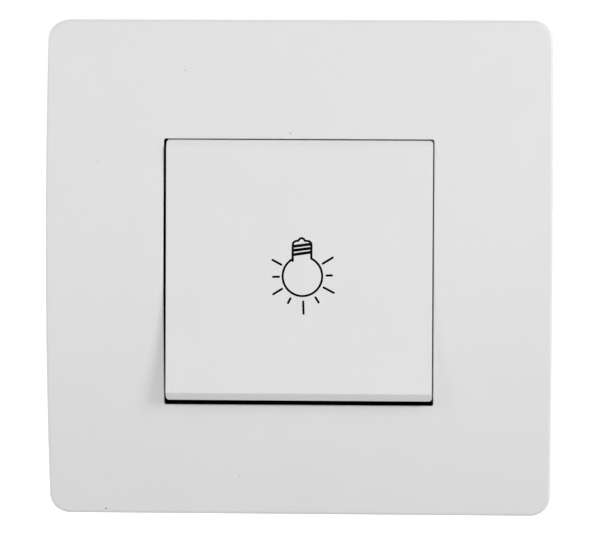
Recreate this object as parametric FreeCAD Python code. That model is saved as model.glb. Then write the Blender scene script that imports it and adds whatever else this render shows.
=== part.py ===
"""Flush push-button light switch: bowed cover plate, sprung button, contact works and fixing claws.

Millimetres. X is to the right as the switch is looked at, Z is up, and Y runs into the wall.
The origin lies in the plane of the wall, behind the middle of the button.
"""
import FreeCAD, Part
import math
import os

V = FreeCAD.Vector

# Cover plate
plate_width = 84.0
plate_height = 83.0
plate_depth = 11.5          # from the wall to the crown of the bow
bow_rise = 6.3              # how far the top and bottom edges lie behind the crown
plate_corner_radius = 3.4
plate_edge_bevel = 0.5
plate_wall = 1.8
opening_width = 44.7
opening_height = 44.3
opening_corner_radius = 0.4
opening_drop = 0.15         # below the plate's middle
opening_edge_bevel = 0.2
collar_wall = 1.6
collar_gap = 0.2            # between the collar and the bridge
surround_wall = 0.7
surround_lip = 0.5          # of the plate in front of the surround
rib_wall = 1.2
rib_spread = 0.92           # outer ribs' place, of the collar's half sides
hook_width = 5.0
hook_thickness = 1.5
hook_barb = 0.7
hook_land = 0.5             # straight part of the barb
hook_lead = 1.1             # sloping part of the barb
relief_gap = 0.3            # round what the plate and its collar must clear

# Button cap
cap_width = 44.1
cap_height = 43.1
cap_wall = 1.6
cap_skirt = 5.4             # from the face to the skirt's inner rim
cap_corner_radius = 0.5
cap_edge_round = 0.25
top_bevel_width = 1.2
bottom_bevel_width = 1.4
bevel_depth = 1.0
cap_proud = 0.05            # how far the face stands in front of the plate's crown at the axis
clip_width = 3.6
clip_thickness = 1.2
clip_barb = 0.5
clip_land = 0.4             # straight part of the barb
clip_lead = 0.9             # sloping part of the barb
clip_gap = 0.1              # behind the yoke
clip_window_gap = 0.2       # round a clip in the yoke
clip_half_span_x = 9.5
clip_half_span_z = 9.0

# Button motion
axis_behind_face = 5.2
rest_tilt = 3.0             # degrees, the lower edge standing out
travel = 6.0                # degrees from rest to fully pressed
stop_clearance = 0.12

# Button yoke
yoke_width = 27.0
yoke_height = 33.0
yoke_web = 1.4
yoke_corner_radius = 1.5
yoke_cheek = 1.4
yoke_cheek_length = 15.0
cheek_shoulder_y = 0.6      # behind the axis
cheek_shoulder_margin = 1.0  # beyond the trunnion
cheek_end_margin = 0.9      # behind the trunnion
cheek_end_share = 0.6       # end's half length, of the trunnion's radius
trunnion_radius = 1.5
trunnion_clearance = 0.06
trunnion_root = 0.3         # inside the cheek
barrel_outer_radius = 2.8
barrel_length = 9.0         # behind the axis
barrel_bore_front = 1.0     # bore's end in front of the axis
yoke_rib_wall = 1.0
yoke_cross_rib_height = 1.2
yoke_long_rib_height = 0.6

# Contact plunger and the springs
plunger_radius = 1.5
plunger_clearance = 0.06
plunger_shank_front = 4.0   # behind the axis
plunger_tip_radius = 2.2
plunger_gap = 0.1
plunger_bore_radius = 0.6
plunger_bore_depth = 2.5
plunger_coil_radius = 1.15
plunger_wire_radius = 0.17
plunger_turns = 3
return_coil_radius = 2.3
return_wire_radius = 0.28
return_turns = 4
wire_sides = 4              # of a coil's section
return_spring_slack = 0.15
return_spring_drop = 10.5   # below the axis
return_stub_gap = 0.3       # inside the coil
return_stub_height = 1.4    # on the yoke
return_boss_height = 1.5    # on the works' cover
return_seat_gap = 0.4       # round the coil in the yoke
spring_end_gap = 0.05

# Support bridge
bridge_inset_x = 6.5        # from the plate's side to the bridge's
bridge_inset_z = 6.0
bridge_thickness = 1.0
bridge_corner_radius = 4.0
aperture_gap = 0.1          # between the base's posts and the bridge
aperture_corner_cut = 0.4
bridge_flange_length = 44.0
bridge_flange_depth = 2.4
fixing_spacing = 60.0
fixing_slot_width = 3.8
fixing_slot_length = 8.0
hook_half_span_x = 13.5
hook_half_span_z = 26.2
hook_slot_clearance = 0.3

# Mechanism base and its cover
base_width = 39.5
base_height = 41.0
base_depth = 24.0
base_wall = 1.6
base_corner_cut = 4.0
inner_cut_share = 0.6       # less cut inside, of the wall
cover_overhang = 0.5        # the works' cover beyond the base's flanks
cover_inset = 0.25          # and short of its top and bottom
cover_thickness = 1.6
cover_corner_cut = 3.0
ear_thickness = 2.0
ear_gap = 0.5               # between the yoke's cheek and the ear
ear_radius = 2.9
ear_foot_share = 1.5        # foot's half length, of the ear's radius
ear_nose_share = 0.5        # front's half length, of the ear's radius
stop_half_span_z = 14.9
stop_width = 12.0
stop_thickness = 1.2
post_inset_x = 3.15         # from the base's flank to a post's axis
post_inset_z = 3.9
post_radius = 1.8
stake_radius = 1.2
stake_head_radius = 2.0
stake_head_height = 0.6
fit_clearance = 0.05
barrel_slot_clearance = 0.9

# Contacts and terminals
contact_axis_y = 7.0
contact_thickness = 0.9
contact_edge_cut_y = 0.3
contact_edge_cut_z = 1.5
contact_cheek = 0.6
contact_cheek_height = 1.0
contact_cheek_half = 2.5
contact_width = 5.0
contact_end = 2.0           # of the see-saw beyond its tip's middle
contact_bottom = 7.5
notch_depth = 0.35
notch_slope = 1.2
tip_edge_inset = 12.5       # from the base's top to the tips' middle
tip_radius = 1.8
tip_thickness = 0.8
tip_dome_radius = 4.0
tip_gap = 0.03
knife_half_angle = 28.0
knife_radius = 0.17
knife_gap = 0.03
knife_post_face = 8.8
strip_thickness = 0.8
strip_width = 4.8
strip_margin = 0.2          # of the strip below its tip
strip_pillar_height = 5.0
tongue_gap = 0.1            # short of the clamp's back
terminal_side_inset = 8.75  # from the base's flank to a terminal's middle
terminal_edge_inset = 3.0   # from the base's top or bottom to a clamp
clamp_width = 7.0
clamp_height = 8.0
clamp_depth = 6.0
clamp_side_wall = 0.9
clamp_inner_wall = 0.8
clamp_thread_wall = 2.2
clamp_corner_cut = 0.4
clamp_gap = 0.15            # to the wire funnel behind it
clamp_front = 11.3
terminal_screw_radius = 1.6
terminal_screw_head_radius = 2.5
terminal_screw_head_height = 1.7
terminal_head_gap = 0.6     # under the head
access_depth = 3.5          # of the windows over the terminal screws
access_clearance = 0.4
conductor_radius = 1.6
funnel_half_width = 3.2
chamber_wall = 1.2
chamber_clearance = 0.3
chamber_side_inset = 1.8    # side walls' start behind the inner wall's
chamber_end_front = 1.5     # inner wall's front behind the clamp's

# Fixing claws
claw_bottom_inset = 10.5    # from the base's bottom to the claws' middle
claw_pivot_y = 9.0
claw_pin_radius = 0.9
claw_barrel_radius = 1.8
claw_thickness = 1.2
claw_width = 8.4
claw_reach = 15.0           # long arm, behind the pivot
claw_foot = 3.2
toe_across = 0.8            # the foot's slope, of its length
toe_back = 0.6
toe_edge = 0.2
bend_share = 0.6            # of the claw's thickness
claw_teeth = 5
claw_tooth_depth = 0.9
tooth_overrun = 0.4
claw_fork_slot_margin = 0.9
claw_fork_gap = 0.3         # round the screw
claw_swing = 28.0           # degrees
claw_ear_thickness = 1.4
claw_ear_root = 0.8         # inside the base's flank
claw_ear_flare = 1.5        # foot beyond the barrel
claw_end_play = 0.15
claw_side_gap = 0.25
claw_screw_offset = 5.4     # from the pivot to the screw
claw_screw_radius = 1.5
claw_screw_hole_gap = 0.2
claw_screw_spare = 1.0      # how far the screw runs on past its nut
claw_screw_head_radius = 2.7
claw_screw_head_height = 2.0
nut_round_radius = 2.6
nut_half_width = 3.2
nut_back = 0.9
nut_gap = 0.1
screw_slot_width = 0.9
screw_slot_depth = 1.0

# Working allowances
weld = 0.2                  # how far pieces of one moulding run into each other
spare = 1.0                 # how far a cutting shape runs past what it cuts
floor_weld = 0.5            # how far walls run into the base's back wall
parallel = 0.99             # least cosine of edges taken as parallel
same = 0.001                # greatest difference of sizes taken as the same

# Places worked out from the sizes above
bow_radius = ((plate_height / 2) ** 2 + bow_rise ** 2) / (2 * bow_rise)
bow_centre_y = bow_radius - plate_depth
bridge_width = plate_width - 2 * bridge_inset_x
bridge_height = plate_height - 2 * bridge_inset_z
post_half_span_x = base_width / 2 - post_inset_x
post_half_span_z = base_height / 2 - post_inset_z
aperture_width = 2 * (post_half_span_x + post_radius + aperture_gap)
aperture_height = 2 * (post_half_span_z + post_radius + aperture_gap)
cover_width = base_width + 2 * cover_overhang
cover_height = base_height - 2 * cover_inset
terminal_x = base_width / 2 - terminal_side_inset
claw_drop = base_height / 2 - claw_bottom_inset
tip_height = base_height / 2 - tip_edge_inset
contact_top = tip_height + contact_end
clamp_inner_edge = base_height / 2 - terminal_edge_inset - clamp_height
axis_y = axis_behind_face - plate_depth - cap_proud
bridge_front = -bridge_thickness
cover_front = bridge_front - cover_thickness
yoke_front = cap_wall - axis_behind_face
yoke_back = yoke_front + yoke_web
return_stub_radius = return_coil_radius - return_wire_radius - return_stub_gap
ear_inner_x = yoke_width / 2 + ear_gap
base_back_inner = base_depth - base_wall
claw_pivot_x = base_width / 2 + claw_side_gap + claw_barrel_radius
claw_screw_x = claw_pivot_x + claw_screw_offset
nut_rest_offset = claw_thickness / 2 + nut_round_radius + nut_gap
claw_screw_end = claw_pivot_y + nut_rest_offset + nut_back + claw_screw_spare
swing_angle = math.radians(claw_swing)
claw_fork_length = ((claw_screw_offset + claw_screw_radius) / math.cos(swing_angle)
                    + claw_thickness / 2 * math.tan(swing_angle))
claw_fork_slot_start = claw_screw_offset - claw_screw_radius - claw_fork_slot_margin
see_saw_rest = 2 * rest_tilt
see_saw_closed = see_saw_rest - 2 * travel
tongue_edge = clamp_inner_edge + clamp_inner_wall
strip_inner_edge = tip_height - tip_radius - strip_margin
funnel_front = clamp_front + clamp_depth + clamp_gap


def box(x0, x1, y0, y1, z0, z1):
    """A box between two corners."""
    return Part.makeBox(x1 - x0, y1 - y0, z1 - z0, V(x0, y0, z0))


def runs_along(edge, axis):
    """True for an edge along an axis: 0 for X, 1 for Y, 2 for Z."""
    return abs(edge.tangentAt(edge.FirstParameter)[axis]) > parallel


def slab(width, height, y0, y1):
    """A box centred on the Y axis."""
    return box(-width / 2, width / 2, y0, y1, -height / 2, height / 2)


def round_slab(width, height, radius, y0, y1):
    """A slab whose four corners are rounded, seen from the front."""
    plain = slab(width, height, y0, y1)
    corners = [e for e in plain.Edges if runs_along(e, 1)]
    return plain.makeFillet(radius, corners)


def cut_slab(width, height, cut, y0, y1):
    """A slab whose four corners are cut off, seen from the front."""
    plain = slab(width, height, y0, y1)
    corners = [e for e in plain.Edges if runs_along(e, 1)]
    return plain.makeChamfer(cut, corners)


def rod_x(radius, x0, x1, y, z):
    """A cylinder along X."""
    return Part.makeCylinder(radius, x1 - x0, V(x0, y, z), V(1, 0, 0))


def rod_y(radius, y0, y1, x, z):
    """A cylinder along Y."""
    return Part.makeCylinder(radius, y1 - y0, V(x, y0, z), V(0, 1, 0))


def rod_z(radius, z0, z1, x, y):
    """A cylinder along Z."""
    return Part.makeCylinder(radius, z1 - z0, V(x, y, z0), V(0, 0, 1))


def prism_x(points, x0, x1):
    """A closed outline of (y, z) points drawn out along X."""
    wire = Part.makePolygon([V(x0, y, z) for y, z in points + points[:1]])
    return Part.Face(wire).extrude(V(x1 - x0, 0, 0))


def prism_y(points, y0, y1):
    """A closed outline of (x, z) points drawn out along Y."""
    wire = Part.makePolygon([V(x, y0, z) for x, z in points + points[:1]])
    return Part.Face(wire).extrude(V(0, y1 - y0, 0))


def prism_z(points, z0, z1):
    """A closed outline of (x, y) points drawn out along Z."""
    wire = Part.makePolygon([V(x, y, z0) for x, y in points + points[:1]])
    return Part.Face(wire).extrude(V(0, 0, z1 - z0))


def slot_y(width, length, y0, y1, x, z, along_x):
    """A round-ended slot cut along Y."""
    half = (length - width) / 2
    dx, dz = (half, 0) if along_x else (0, half)
    ends = [rod_y(width / 2, y0, y1, x + s * dx, z + s * dz) for s in (-1, 1)]
    middle = box(x - max(dx, width / 2 * (not along_x)), x + max(dx, width / 2 * (not along_x)),
                 y0, y1,
                 z - max(dz, width / 2 * along_x), z + max(dz, width / 2 * along_x))
    return middle.fuse(ends)


def joined(shapes):
    """One solid from pieces that meet."""
    return shapes[0].multiFuse(shapes[1:]).removeSplitter()


def mirrored(shape):
    """The same shape on the other side of the middle plane."""
    return shape.mirror(V(0, 0, 0), V(1, 0, 0))


def on_axis(shape, degrees):
    """Moves a shape drawn about the button's axis to its place and turns it."""
    placed = shape.copy()
    placed.translate(V(0, axis_y, 0))
    placed.rotate(V(0, axis_y, 0), V(1, 0, 0), degrees)
    return placed


def turned(y, z, degrees):
    """A (y, z) point turned about the X axis."""
    a = math.radians(degrees)
    return y * math.cos(a) - z * math.sin(a), y * math.sin(a) + z * math.cos(a)


def coil(mean_radius, wire_radius, turns, length):
    """A compression spring from the origin along -Y."""
    height = length - 2 * wire_radius - 2 * spring_end_gap
    helix = Part.makeHelix(height / turns, height, mean_radius)
    corners = []
    for step in range(wire_sides + 1):
        a = math.radians(360 / wire_sides * step)
        corners.append(V(mean_radius + wire_radius * math.cos(a), 0, wire_radius * math.sin(a)))
    section = Part.makePolygon(corners)
    spring = Part.Wire(helix.Edges).makePipeShell([section], True, True)
    spring.rotate(V(0, 0, 0), V(1, 0, 0), 90)
    spring.translate(V(0, -wire_radius - spring_end_gap, 0))
    return spring


def bowed_block(width, height, radius, corner, y_back):
    """A block with a rounded outline whose front is bowed about the plate's own centre."""
    half = height / 2
    edge_y = bow_centre_y - math.sqrt(radius ** 2 - half ** 2)
    x = -width / 2
    low, high = V(x, edge_y, -half), V(x, edge_y, half)
    front = Part.Arc(low, V(x, bow_centre_y - radius, 0), high).toShape()
    sides = Part.makePolygon([high, V(x, y_back, half), V(x, y_back, -half), low])
    profile = Part.Face(Part.Wire([front] + sides.Edges))
    outline = round_slab(width, height, corner, bow_centre_y - radius - 1, y_back)
    return profile.extrude(V(width, 0, 0)).common(outline)


def bow_faces(shape, radius):
    """The faces of a shape that lie on a bow of this radius."""
    return [f for f in shape.Faces
            if isinstance(f.Surface, Part.Cylinder) and abs(f.Surface.Radius - radius) < same]


def cover_frame():
    """The moulded plate: bowed shell, collar round the button, ribs and four snap hooks."""
    solid = bowed_block(plate_width, plate_height, bow_radius, plate_corner_radius, 0)
    rim = bow_faces(solid, bow_radius)[0].OuterWire.Edges
    solid = solid.makeChamfer(plate_edge_bevel, rim)
    inner_w, inner_h = plate_width - 2 * plate_wall, plate_height - 2 * plate_wall
    inner_corner = plate_corner_radius - plate_wall / 2
    hollow = bowed_block(inner_w, inner_h, bow_radius - plate_wall, inner_corner, 1)
    collar_w, collar_h = opening_width + 2 * collar_wall, opening_height + 2 * collar_wall
    collar_back = bridge_front - collar_gap
    rib_back = bridge_front - bridge_flange_depth - relief_gap
    inside = [round_slab(collar_w, collar_h, opening_corner_radius + collar_wall,
                         -plate_depth, collar_back)]
    for side in (-1, 1):
        for part in (-1, 0, 1):
            at = part * collar_h / 2 * rib_spread
            inside.append(box(min(0, side * inner_w), max(0, side * inner_w), -plate_depth, rib_back,
                              at - rib_wall / 2, at + rib_wall / 2))
            at = part * collar_w / 2 * rib_spread
            inside.append(box(at - rib_wall / 2, at + rib_wall / 2, -plate_depth, rib_back,
                              min(0, side * inner_h), max(0, side * inner_h)))
    web = inside[0].multiFuse(inside[1:])
    body = solid.cut(hollow.cut(web))
    body = body.cut(opening_room()).cut(surround_room(fit_clearance, spare))
    front = max(bow_faces(body, bow_radius), key=lambda f: f.Area)
    mouth = [e for w in front.Wires if not w.isSame(front.OuterWire) for e in w.Edges]
    body = body.makeChamfer(opening_edge_bevel, mouth)
    return joined([body.cut(works_room())] + snap_hooks(solid))


def works_room():
    """What the plate and the surround leave free for the works' cover and the screws' heads."""
    room = slab(cover_width + 2 * relief_gap, cover_height + 2 * relief_gap,
                cover_front - relief_gap, spare)
    heads = [rod_y(claw_screw_head_radius + relief_gap,
                   bridge_front - claw_screw_head_height - relief_gap, spare,
                   side * claw_screw_x, -claw_drop) for side in (-1, 1)]
    return room.multiFuse(heads)


def opening_room():
    """The opening, from in front of the plate to behind it."""
    room = round_slab(opening_width, opening_height, opening_corner_radius,
                      -plate_depth - spare, spare)
    room.translate(V(0, 0, -opening_drop))
    return room


def surround_room(grown, y_back):
    """The surround's outside, grown on every side, with a front that follows the plate's bow."""
    width = opening_width + 2 * (surround_wall + grown)
    height = opening_height + 2 * (surround_wall + grown)
    return bowed_block(width, height, bow_radius - surround_lip + grown,
                       opening_corner_radius + surround_wall, y_back)


def button_surround():
    """The dark sleeve between the plate's lip and the bridge, which the button moves in."""
    sleeve = surround_room(0, bridge_front - fit_clearance).cut(opening_room())
    return sleeve.cut(works_room())


def snap_hooks(outer):
    """Four legs from the plate that snap behind the bridge, in the outer solid's bounds."""
    hooks = []
    for side_x in (-1, 1):
        for side_z in (-1, 1):
            x = side_x * hook_half_span_x
            z0 = hook_half_span_z - hook_thickness / 2
            z1 = z0 + hook_thickness
            tip = hook_slot_clearance
            outline = [(-plate_depth, z0), (-plate_depth, z1), (tip, z1),
                       (tip, z1 + hook_barb), (tip + hook_land, z1 + hook_barb),
                       (tip + hook_land + hook_lead, z1), (tip + hook_land + hook_lead, z0)]
            leg = prism_x([(y, side_z * z) for y, z in outline],
                          x - hook_width / 2, x + hook_width / 2)
            room = bowed_block(plate_width - 2, plate_height - 2, bow_radius - plate_wall / 2,
                               plate_corner_radius, tip + 2)
            hooks.append(leg.common(room))
    return hooks


def button_cap():
    """The cap: flat face, bevelled top and bottom, hollow behind, with four clip legs."""
    face, rim = -axis_behind_face, cap_skirt - axis_behind_face
    half = cap_height / 2
    outline = [(face, bottom_bevel_width - half), (face, half - top_bevel_width),
               (face + bevel_depth, half), (rim, half), (rim, -half), (face + bevel_depth, -half)]
    block = prism_x(outline, -cap_width / 2, cap_width / 2)
    lips = [e for e in block.Edges if not runs_along(e, 0) and e.BoundBox.YMax < rim - same]
    block = block.makeFillet(cap_edge_round, lips)
    block = block.common(round_slab(cap_width, cap_height, cap_corner_radius, face - 1, rim))
    inner_w, inner_h = cap_width - 2 * cap_wall, cap_height - 2 * cap_wall
    hollow = slab(inner_w, inner_h, face + cap_wall, rim + 1)
    cap = block.cut(hollow)
    legs = []
    for side_x in (-1, 1):
        for side_z in (-1, 1):
            z0 = clip_half_span_z - clip_thickness / 2
            z1 = z0 + clip_thickness
            catch = yoke_back + clip_gap
            end = catch + clip_land + clip_lead
            leg = [(face + cap_wall / 2, z0), (face + cap_wall / 2, z1), (catch, z1),
                   (catch, z1 + clip_barb), (catch + clip_land, z1 + clip_barb), (end, z1),
                   (end, z0)]
            x = side_x * clip_half_span_x
            legs.append(prism_x([(y, side_z * z) for y, z in leg],
                                x - clip_width / 2, x + clip_width / 2))
    return on_axis(joined([cap] + legs), -rest_tilt)


def button_yoke():
    """The carrier behind the cap: web, cheeks with trunnions, ribs and the plunger's barrel."""
    half_w, half_h = yoke_width / 2, yoke_height / 2
    parts = [round_slab(yoke_width, yoke_height, yoke_corner_radius, yoke_front, yoke_back)]
    foot, shoulder = yoke_cheek_length / 2, trunnion_radius + cheek_shoulder_margin
    end_y, end = trunnion_radius + cheek_end_margin, trunnion_radius * cheek_end_share
    cheek = [(yoke_back - weld, -foot), (yoke_back - weld, foot), (cheek_shoulder_y, shoulder),
             (end_y, end), (end_y, -end), (cheek_shoulder_y, -shoulder)]
    for side in (-1, 1):
        x0, x1 = sorted((side * (half_w - yoke_cheek), side * half_w))
        parts.append(prism_x(cheek, x0, x1))
        x0, x1 = sorted((side * (half_w - trunnion_root),
                         side * (half_w + ear_gap + ear_thickness)))
        parts.append(rod_x(trunnion_radius, x0, x1, 0, 0))
        x0, x1 = sorted((0, side * (half_w - weld)))
        parts.append(box(x0, x1, yoke_back - weld, yoke_back + yoke_cross_rib_height,
                         -yoke_rib_wall / 2, yoke_rib_wall / 2))
    for side in (-1, 1):
        z0, z1 = sorted((0, side * (stop_half_span_z - stop_thickness)))
        parts.append(box(-yoke_rib_wall / 2, yoke_rib_wall / 2, yoke_back - weld,
                         yoke_back + yoke_long_rib_height, z0, z1))
    parts.append(rod_y(barrel_outer_radius, yoke_front + weld, barrel_length, 0, 0))
    yoke = joined(parts)
    yoke = yoke.cut(rod_y(plunger_radius + plunger_clearance, -barrel_bore_front,
                          barrel_length + spare, 0, 0))
    seat = return_coil_radius + return_wire_radius + return_seat_gap
    yoke = yoke.cut(rod_y(seat, yoke_back, yoke_back + 2 * spare, 0, -return_spring_drop))
    yoke = yoke.fuse(rod_y(return_stub_radius, yoke_back - weld,
                           yoke_back + return_stub_height, 0, -return_spring_drop))
    for side_x in (-1, 1):
        for side_z in (-1, 1):
            x, z = side_x * clip_half_span_x, side_z * clip_half_span_z
            window_w = clip_width + 2 * clip_window_gap
            window_h = clip_thickness + 2 * clip_window_gap
            yoke = yoke.cut(box(x - window_w / 2, x + window_w / 2, yoke_front - spare, yoke_back + spare,
                                z - window_h / 2, z + window_h / 2))
    return on_axis(yoke.removeSplitter(), -rest_tilt)


def plunger_reach():
    """How far behind the axis the plunger's round tip is centred, just clear of the see-saw."""
    normal_y, normal_z = turned(-1, 0, see_saw_rest)
    surface_y, surface_z = turned(notch_depth - contact_thickness, 0, see_saw_rest)
    aim_y, aim_z = turned(1, 0, -rest_tilt)
    offset = ((axis_y - contact_axis_y - surface_y) * normal_y - surface_z * normal_z)
    return (plunger_tip_radius + plunger_gap - offset) / (aim_y * normal_y + aim_z * normal_z)


def contact_plunger():
    """The insulating pin that pushes the see-saw over."""
    reach = plunger_reach()
    shoulder = reach + math.sqrt(plunger_tip_radius ** 2 - plunger_radius ** 2)
    pin = rod_y(plunger_radius, plunger_shank_front, reach + plunger_tip_radius, 0, 0)
    tip = Part.makeSphere(plunger_tip_radius, V(0, reach, 0))
    pin = joined([pin.common(tip), rod_y(plunger_radius, plunger_shank_front, shoulder, 0, 0)])
    pin = pin.cut(rod_y(plunger_bore_radius, plunger_shank_front - spare,
                        plunger_shank_front + plunger_bore_depth, 0, 0))
    return on_axis(pin, -rest_tilt)


def plunger_spring():
    """The small coil between the barrel's end and the plunger."""
    spring = coil(plunger_coil_radius, plunger_wire_radius, plunger_turns,
                  plunger_shank_front + barrel_bore_front)
    spring.translate(V(0, plunger_shank_front, 0))
    return on_axis(spring, -rest_tilt)


def return_spring():
    """The coil under the button's lower half."""
    seat_y, seat_z = turned(yoke_back, -return_spring_drop, -rest_tilt)
    spring = coil(return_coil_radius, return_wire_radius, return_turns,
                  cover_front - axis_y - seat_y - return_spring_slack)
    spring.translate(V(0, cover_front, seat_z))
    return spring


def support_bridge():
    """The pressed steel plate: middle aperture, slots for the wall screws and folded edges."""
    plate = round_slab(bridge_width, bridge_height, bridge_corner_radius, bridge_front, 0)
    plate = plate.cut(cut_slab(aperture_width, aperture_height, aperture_corner_cut,
                               bridge_front - spare, spare))
    for side in (-1, 1):
        z0, z1 = sorted((side * bridge_height / 2, side * (bridge_height / 2 - bridge_thickness)))
        plate = plate.fuse(box(-bridge_flange_length / 2, bridge_flange_length / 2,
                               bridge_front - bridge_flange_depth, bridge_front, z0, z1))
        mid = side * fixing_spacing / 2
        for x, z, along_x in ((mid, 0, True), (0, mid, False)):
            plate = plate.cut(slot_y(fixing_slot_width, fixing_slot_length,
                                     bridge_front - spare, spare, x, z, along_x))
        plate = plate.cut(rod_y(claw_screw_radius + claw_screw_hole_gap, bridge_front - spare, spare,
                                side * claw_screw_x, -claw_drop))
        for side_z in (-1, 1):
            x, z = side * hook_half_span_x, side_z * hook_half_span_z
            w = hook_width + 2 * hook_slot_clearance
            h = hook_thickness + 2 * hook_slot_clearance
            plate = plate.cut(box(x - w / 2, x + w / 2, bridge_front - spare, spare,
                                  z - h / 2, z + h / 2))
    return plate.removeSplitter()


def mechanism_cover():
    """The moulded front of the works: ears for the trunnions, stops and the spring's stub."""
    parts = [cut_slab(cover_width, cover_height, cover_corner_cut, cover_front, bridge_front)]
    foot_y, foot, nose = cover_front + weld, ear_radius * ear_foot_share, ear_radius * ear_nose_share
    for side in (-1, 1):
        x0, x1 = sorted((side * ear_inner_x, side * (ear_inner_x + ear_thickness)))
        ear = box(x0, x1, axis_y, foot_y, -foot, foot).fuse(rod_x(ear_radius, x0, x1, axis_y, 0))
        flank = prism_x([(axis_y - ear_radius, -nose), (axis_y - ear_radius, nose),
                         (axis_y, ear_radius), (foot_y, foot), (foot_y, -foot),
                         (axis_y, -ear_radius)], x0, x1)
        parts.append(ear.common(flank))
        z0, z1 = sorted((side * (stop_half_span_z - stop_thickness / 2),
                         side * (stop_half_span_z + stop_thickness / 2)))
        met_at = -rest_tilt if side > 0 else travel - rest_tilt
        stop_y = turned(yoke_back, side * stop_half_span_z, met_at)[0] + axis_y + stop_clearance
        parts.append(box(-stop_width / 2, stop_width / 2, stop_y, foot_y, z0, z1))
    parts.append(rod_y(return_stub_radius, cover_front - return_boss_height, foot_y, 0,
                       turned(yoke_back, -return_spring_drop, -rest_tilt)[1]))
    cover = joined(parts)
    for side in (-1, 1):
        x0, x1 = sorted((side * (ear_inner_x - 1), side * (ear_inner_x + ear_thickness + 1)))
        cover = cover.cut(rod_x(trunnion_radius + trunnion_clearance, x0, x1, axis_y, 0))
        cover = cover.cut(rod_y(stake_radius + fit_clearance, cover_front - spare, 0,
                                side * post_half_span_x, -side * post_half_span_z))
    hole = 2 * (barrel_outer_radius + barrel_slot_clearance)
    return cover.cut(round_slab(hole, hole, 1.0, cover_front - 1, 0)).removeSplitter()


def mechanism_base():
    """The moulded box behind the bridge: posts, chambers, pillars, wire funnels and claw ears."""
    shell = cut_slab(base_width, base_height, base_corner_cut, 0, base_depth)
    inner = cut_slab(base_width - 2 * base_wall, base_height - 2 * base_wall,
                     base_corner_cut - base_wall * inner_cut_share, -spare, base_back_inner)
    base = shell.cut(inner)
    parts = [base]
    for side_x in (-1, 1):
        for side_z in (-1, 1):
            x, z = side_x * post_half_span_x, side_z * post_half_span_z
            parts.append(rod_y(post_radius, bridge_front, base_depth - floor_weld, x, z))
    half = contact_width / 2
    knife_back = knife_post_face + strip_thickness
    parts.append(box(-half, half, knife_back, base_depth - floor_weld,
                     -strip_width / 2, strip_width / 2))
    parts.append(box(-half, half, fixed_strip_face() + strip_thickness, base_depth - floor_weld,
                     strip_inner_edge, strip_inner_edge + strip_pillar_height))
    for side in (-1, 1):
        parts += chamber_walls(side)
        parts += claw_ears(side)
        x, z = side * post_half_span_x, -side * post_half_span_z
        parts.append(rod_y(stake_radius, cover_front - weld, bridge_front + weld, x, z))
        parts.append(rod_y(stake_head_radius, cover_front - stake_head_height, cover_front, x, z))
        x, z = side * terminal_x, side * conductor_z()
        parts.append(box(x - funnel_half_width, x + funnel_half_width, funnel_front,
                         base_depth - floor_weld, z - funnel_half_width, z + funnel_half_width))
    base = joined(parts)
    for side in (-1, 1):
        base = base.cut(rod_y(conductor_radius, funnel_front - 1, base_depth + 1,
                              side * terminal_x, side * conductor_z()))
        z0, z1 = sorted((side * (base_height / 2 - access_depth), side * (base_height / 2 + spare)))
        x, y = side * terminal_x, clamp_front + clamp_depth / 2
        half = terminal_screw_head_radius + access_clearance
        base = base.cut(box(x - half, x + half, y - half, y + half, z0, z1))
        base = base.cut(rod_z(claw_pin_radius + fit_clearance, -claw_drop - base_height,
                              -claw_drop + base_height, side * claw_pivot_x, claw_pivot_y))
    return base.removeSplitter()


def chamber_walls(side):
    """The walls that keep one terminal clamp in its corner of the base."""
    gap = clamp_width / 2 + chamber_clearance
    reach = base_height / 2 - floor_weld
    near = clamp_inner_edge - chamber_clearance
    walls = []
    for edge in (-1, 1):
        x0, x1 = sorted((side * terminal_x + edge * gap, side * terminal_x + edge * (gap + chamber_wall)))
        z0, z1 = sorted((side * (near + chamber_side_inset), side * reach))
        walls.append(box(x0, x1, clamp_front, base_depth - floor_weld, z0, z1))
    z0, z1 = sorted((side * (near - chamber_wall), side * near))
    x0, x1 = side * terminal_x - gap - chamber_wall, side * terminal_x + gap + chamber_wall
    walls.append(box(x0, x1, clamp_front + chamber_end_front, base_depth - floor_weld, z0, z1))
    return walls


def claw_ears(side):
    """Two lugs on the base's flank that hold a claw's pin."""
    lugs = []
    root_x = base_width / 2 - claw_ear_root
    for edge in (-1, 1):
        near = claw_width / 2 + claw_end_play
        z0, z1 = sorted((-claw_drop + edge * near,
                         -claw_drop + edge * (near + claw_ear_thickness)))
        foot = claw_barrel_radius + claw_ear_flare
        lug = joined([rod_z(claw_barrel_radius, z0, z1, claw_pivot_x, claw_pivot_y),
                      prism_z([(root_x, claw_pivot_y - foot),
                               (claw_pivot_x, claw_pivot_y - claw_barrel_radius),
                               (claw_pivot_x, claw_pivot_y + claw_barrel_radius),
                               (root_x, claw_pivot_y + foot)], z0, z1)])
        lugs.append(lug if side > 0 else mirrored(lug))
    return lugs


def dome_tip(y_face, z, toward):
    """A contact rivet's head with a slightly domed face; toward is the way the dome points."""
    centre = y_face - toward * tip_dome_radius
    disc = rod_y(tip_radius, min(y_face, y_face - toward * tip_thickness),
                 max(y_face, y_face - toward * tip_thickness), 0, z)
    return disc.common(Part.makeSphere(tip_dome_radius, V(0, centre, z)))


def closed_tip_place():
    """Where the fixed tip's dome touches the moving one with the button pressed: (y, z)."""
    face = notch_depth + tip_thickness
    y, z = turned(face - tip_dome_radius, tip_height, see_saw_closed)
    return contact_axis_y + y + tip_dome_radius + tip_gap, z


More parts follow.
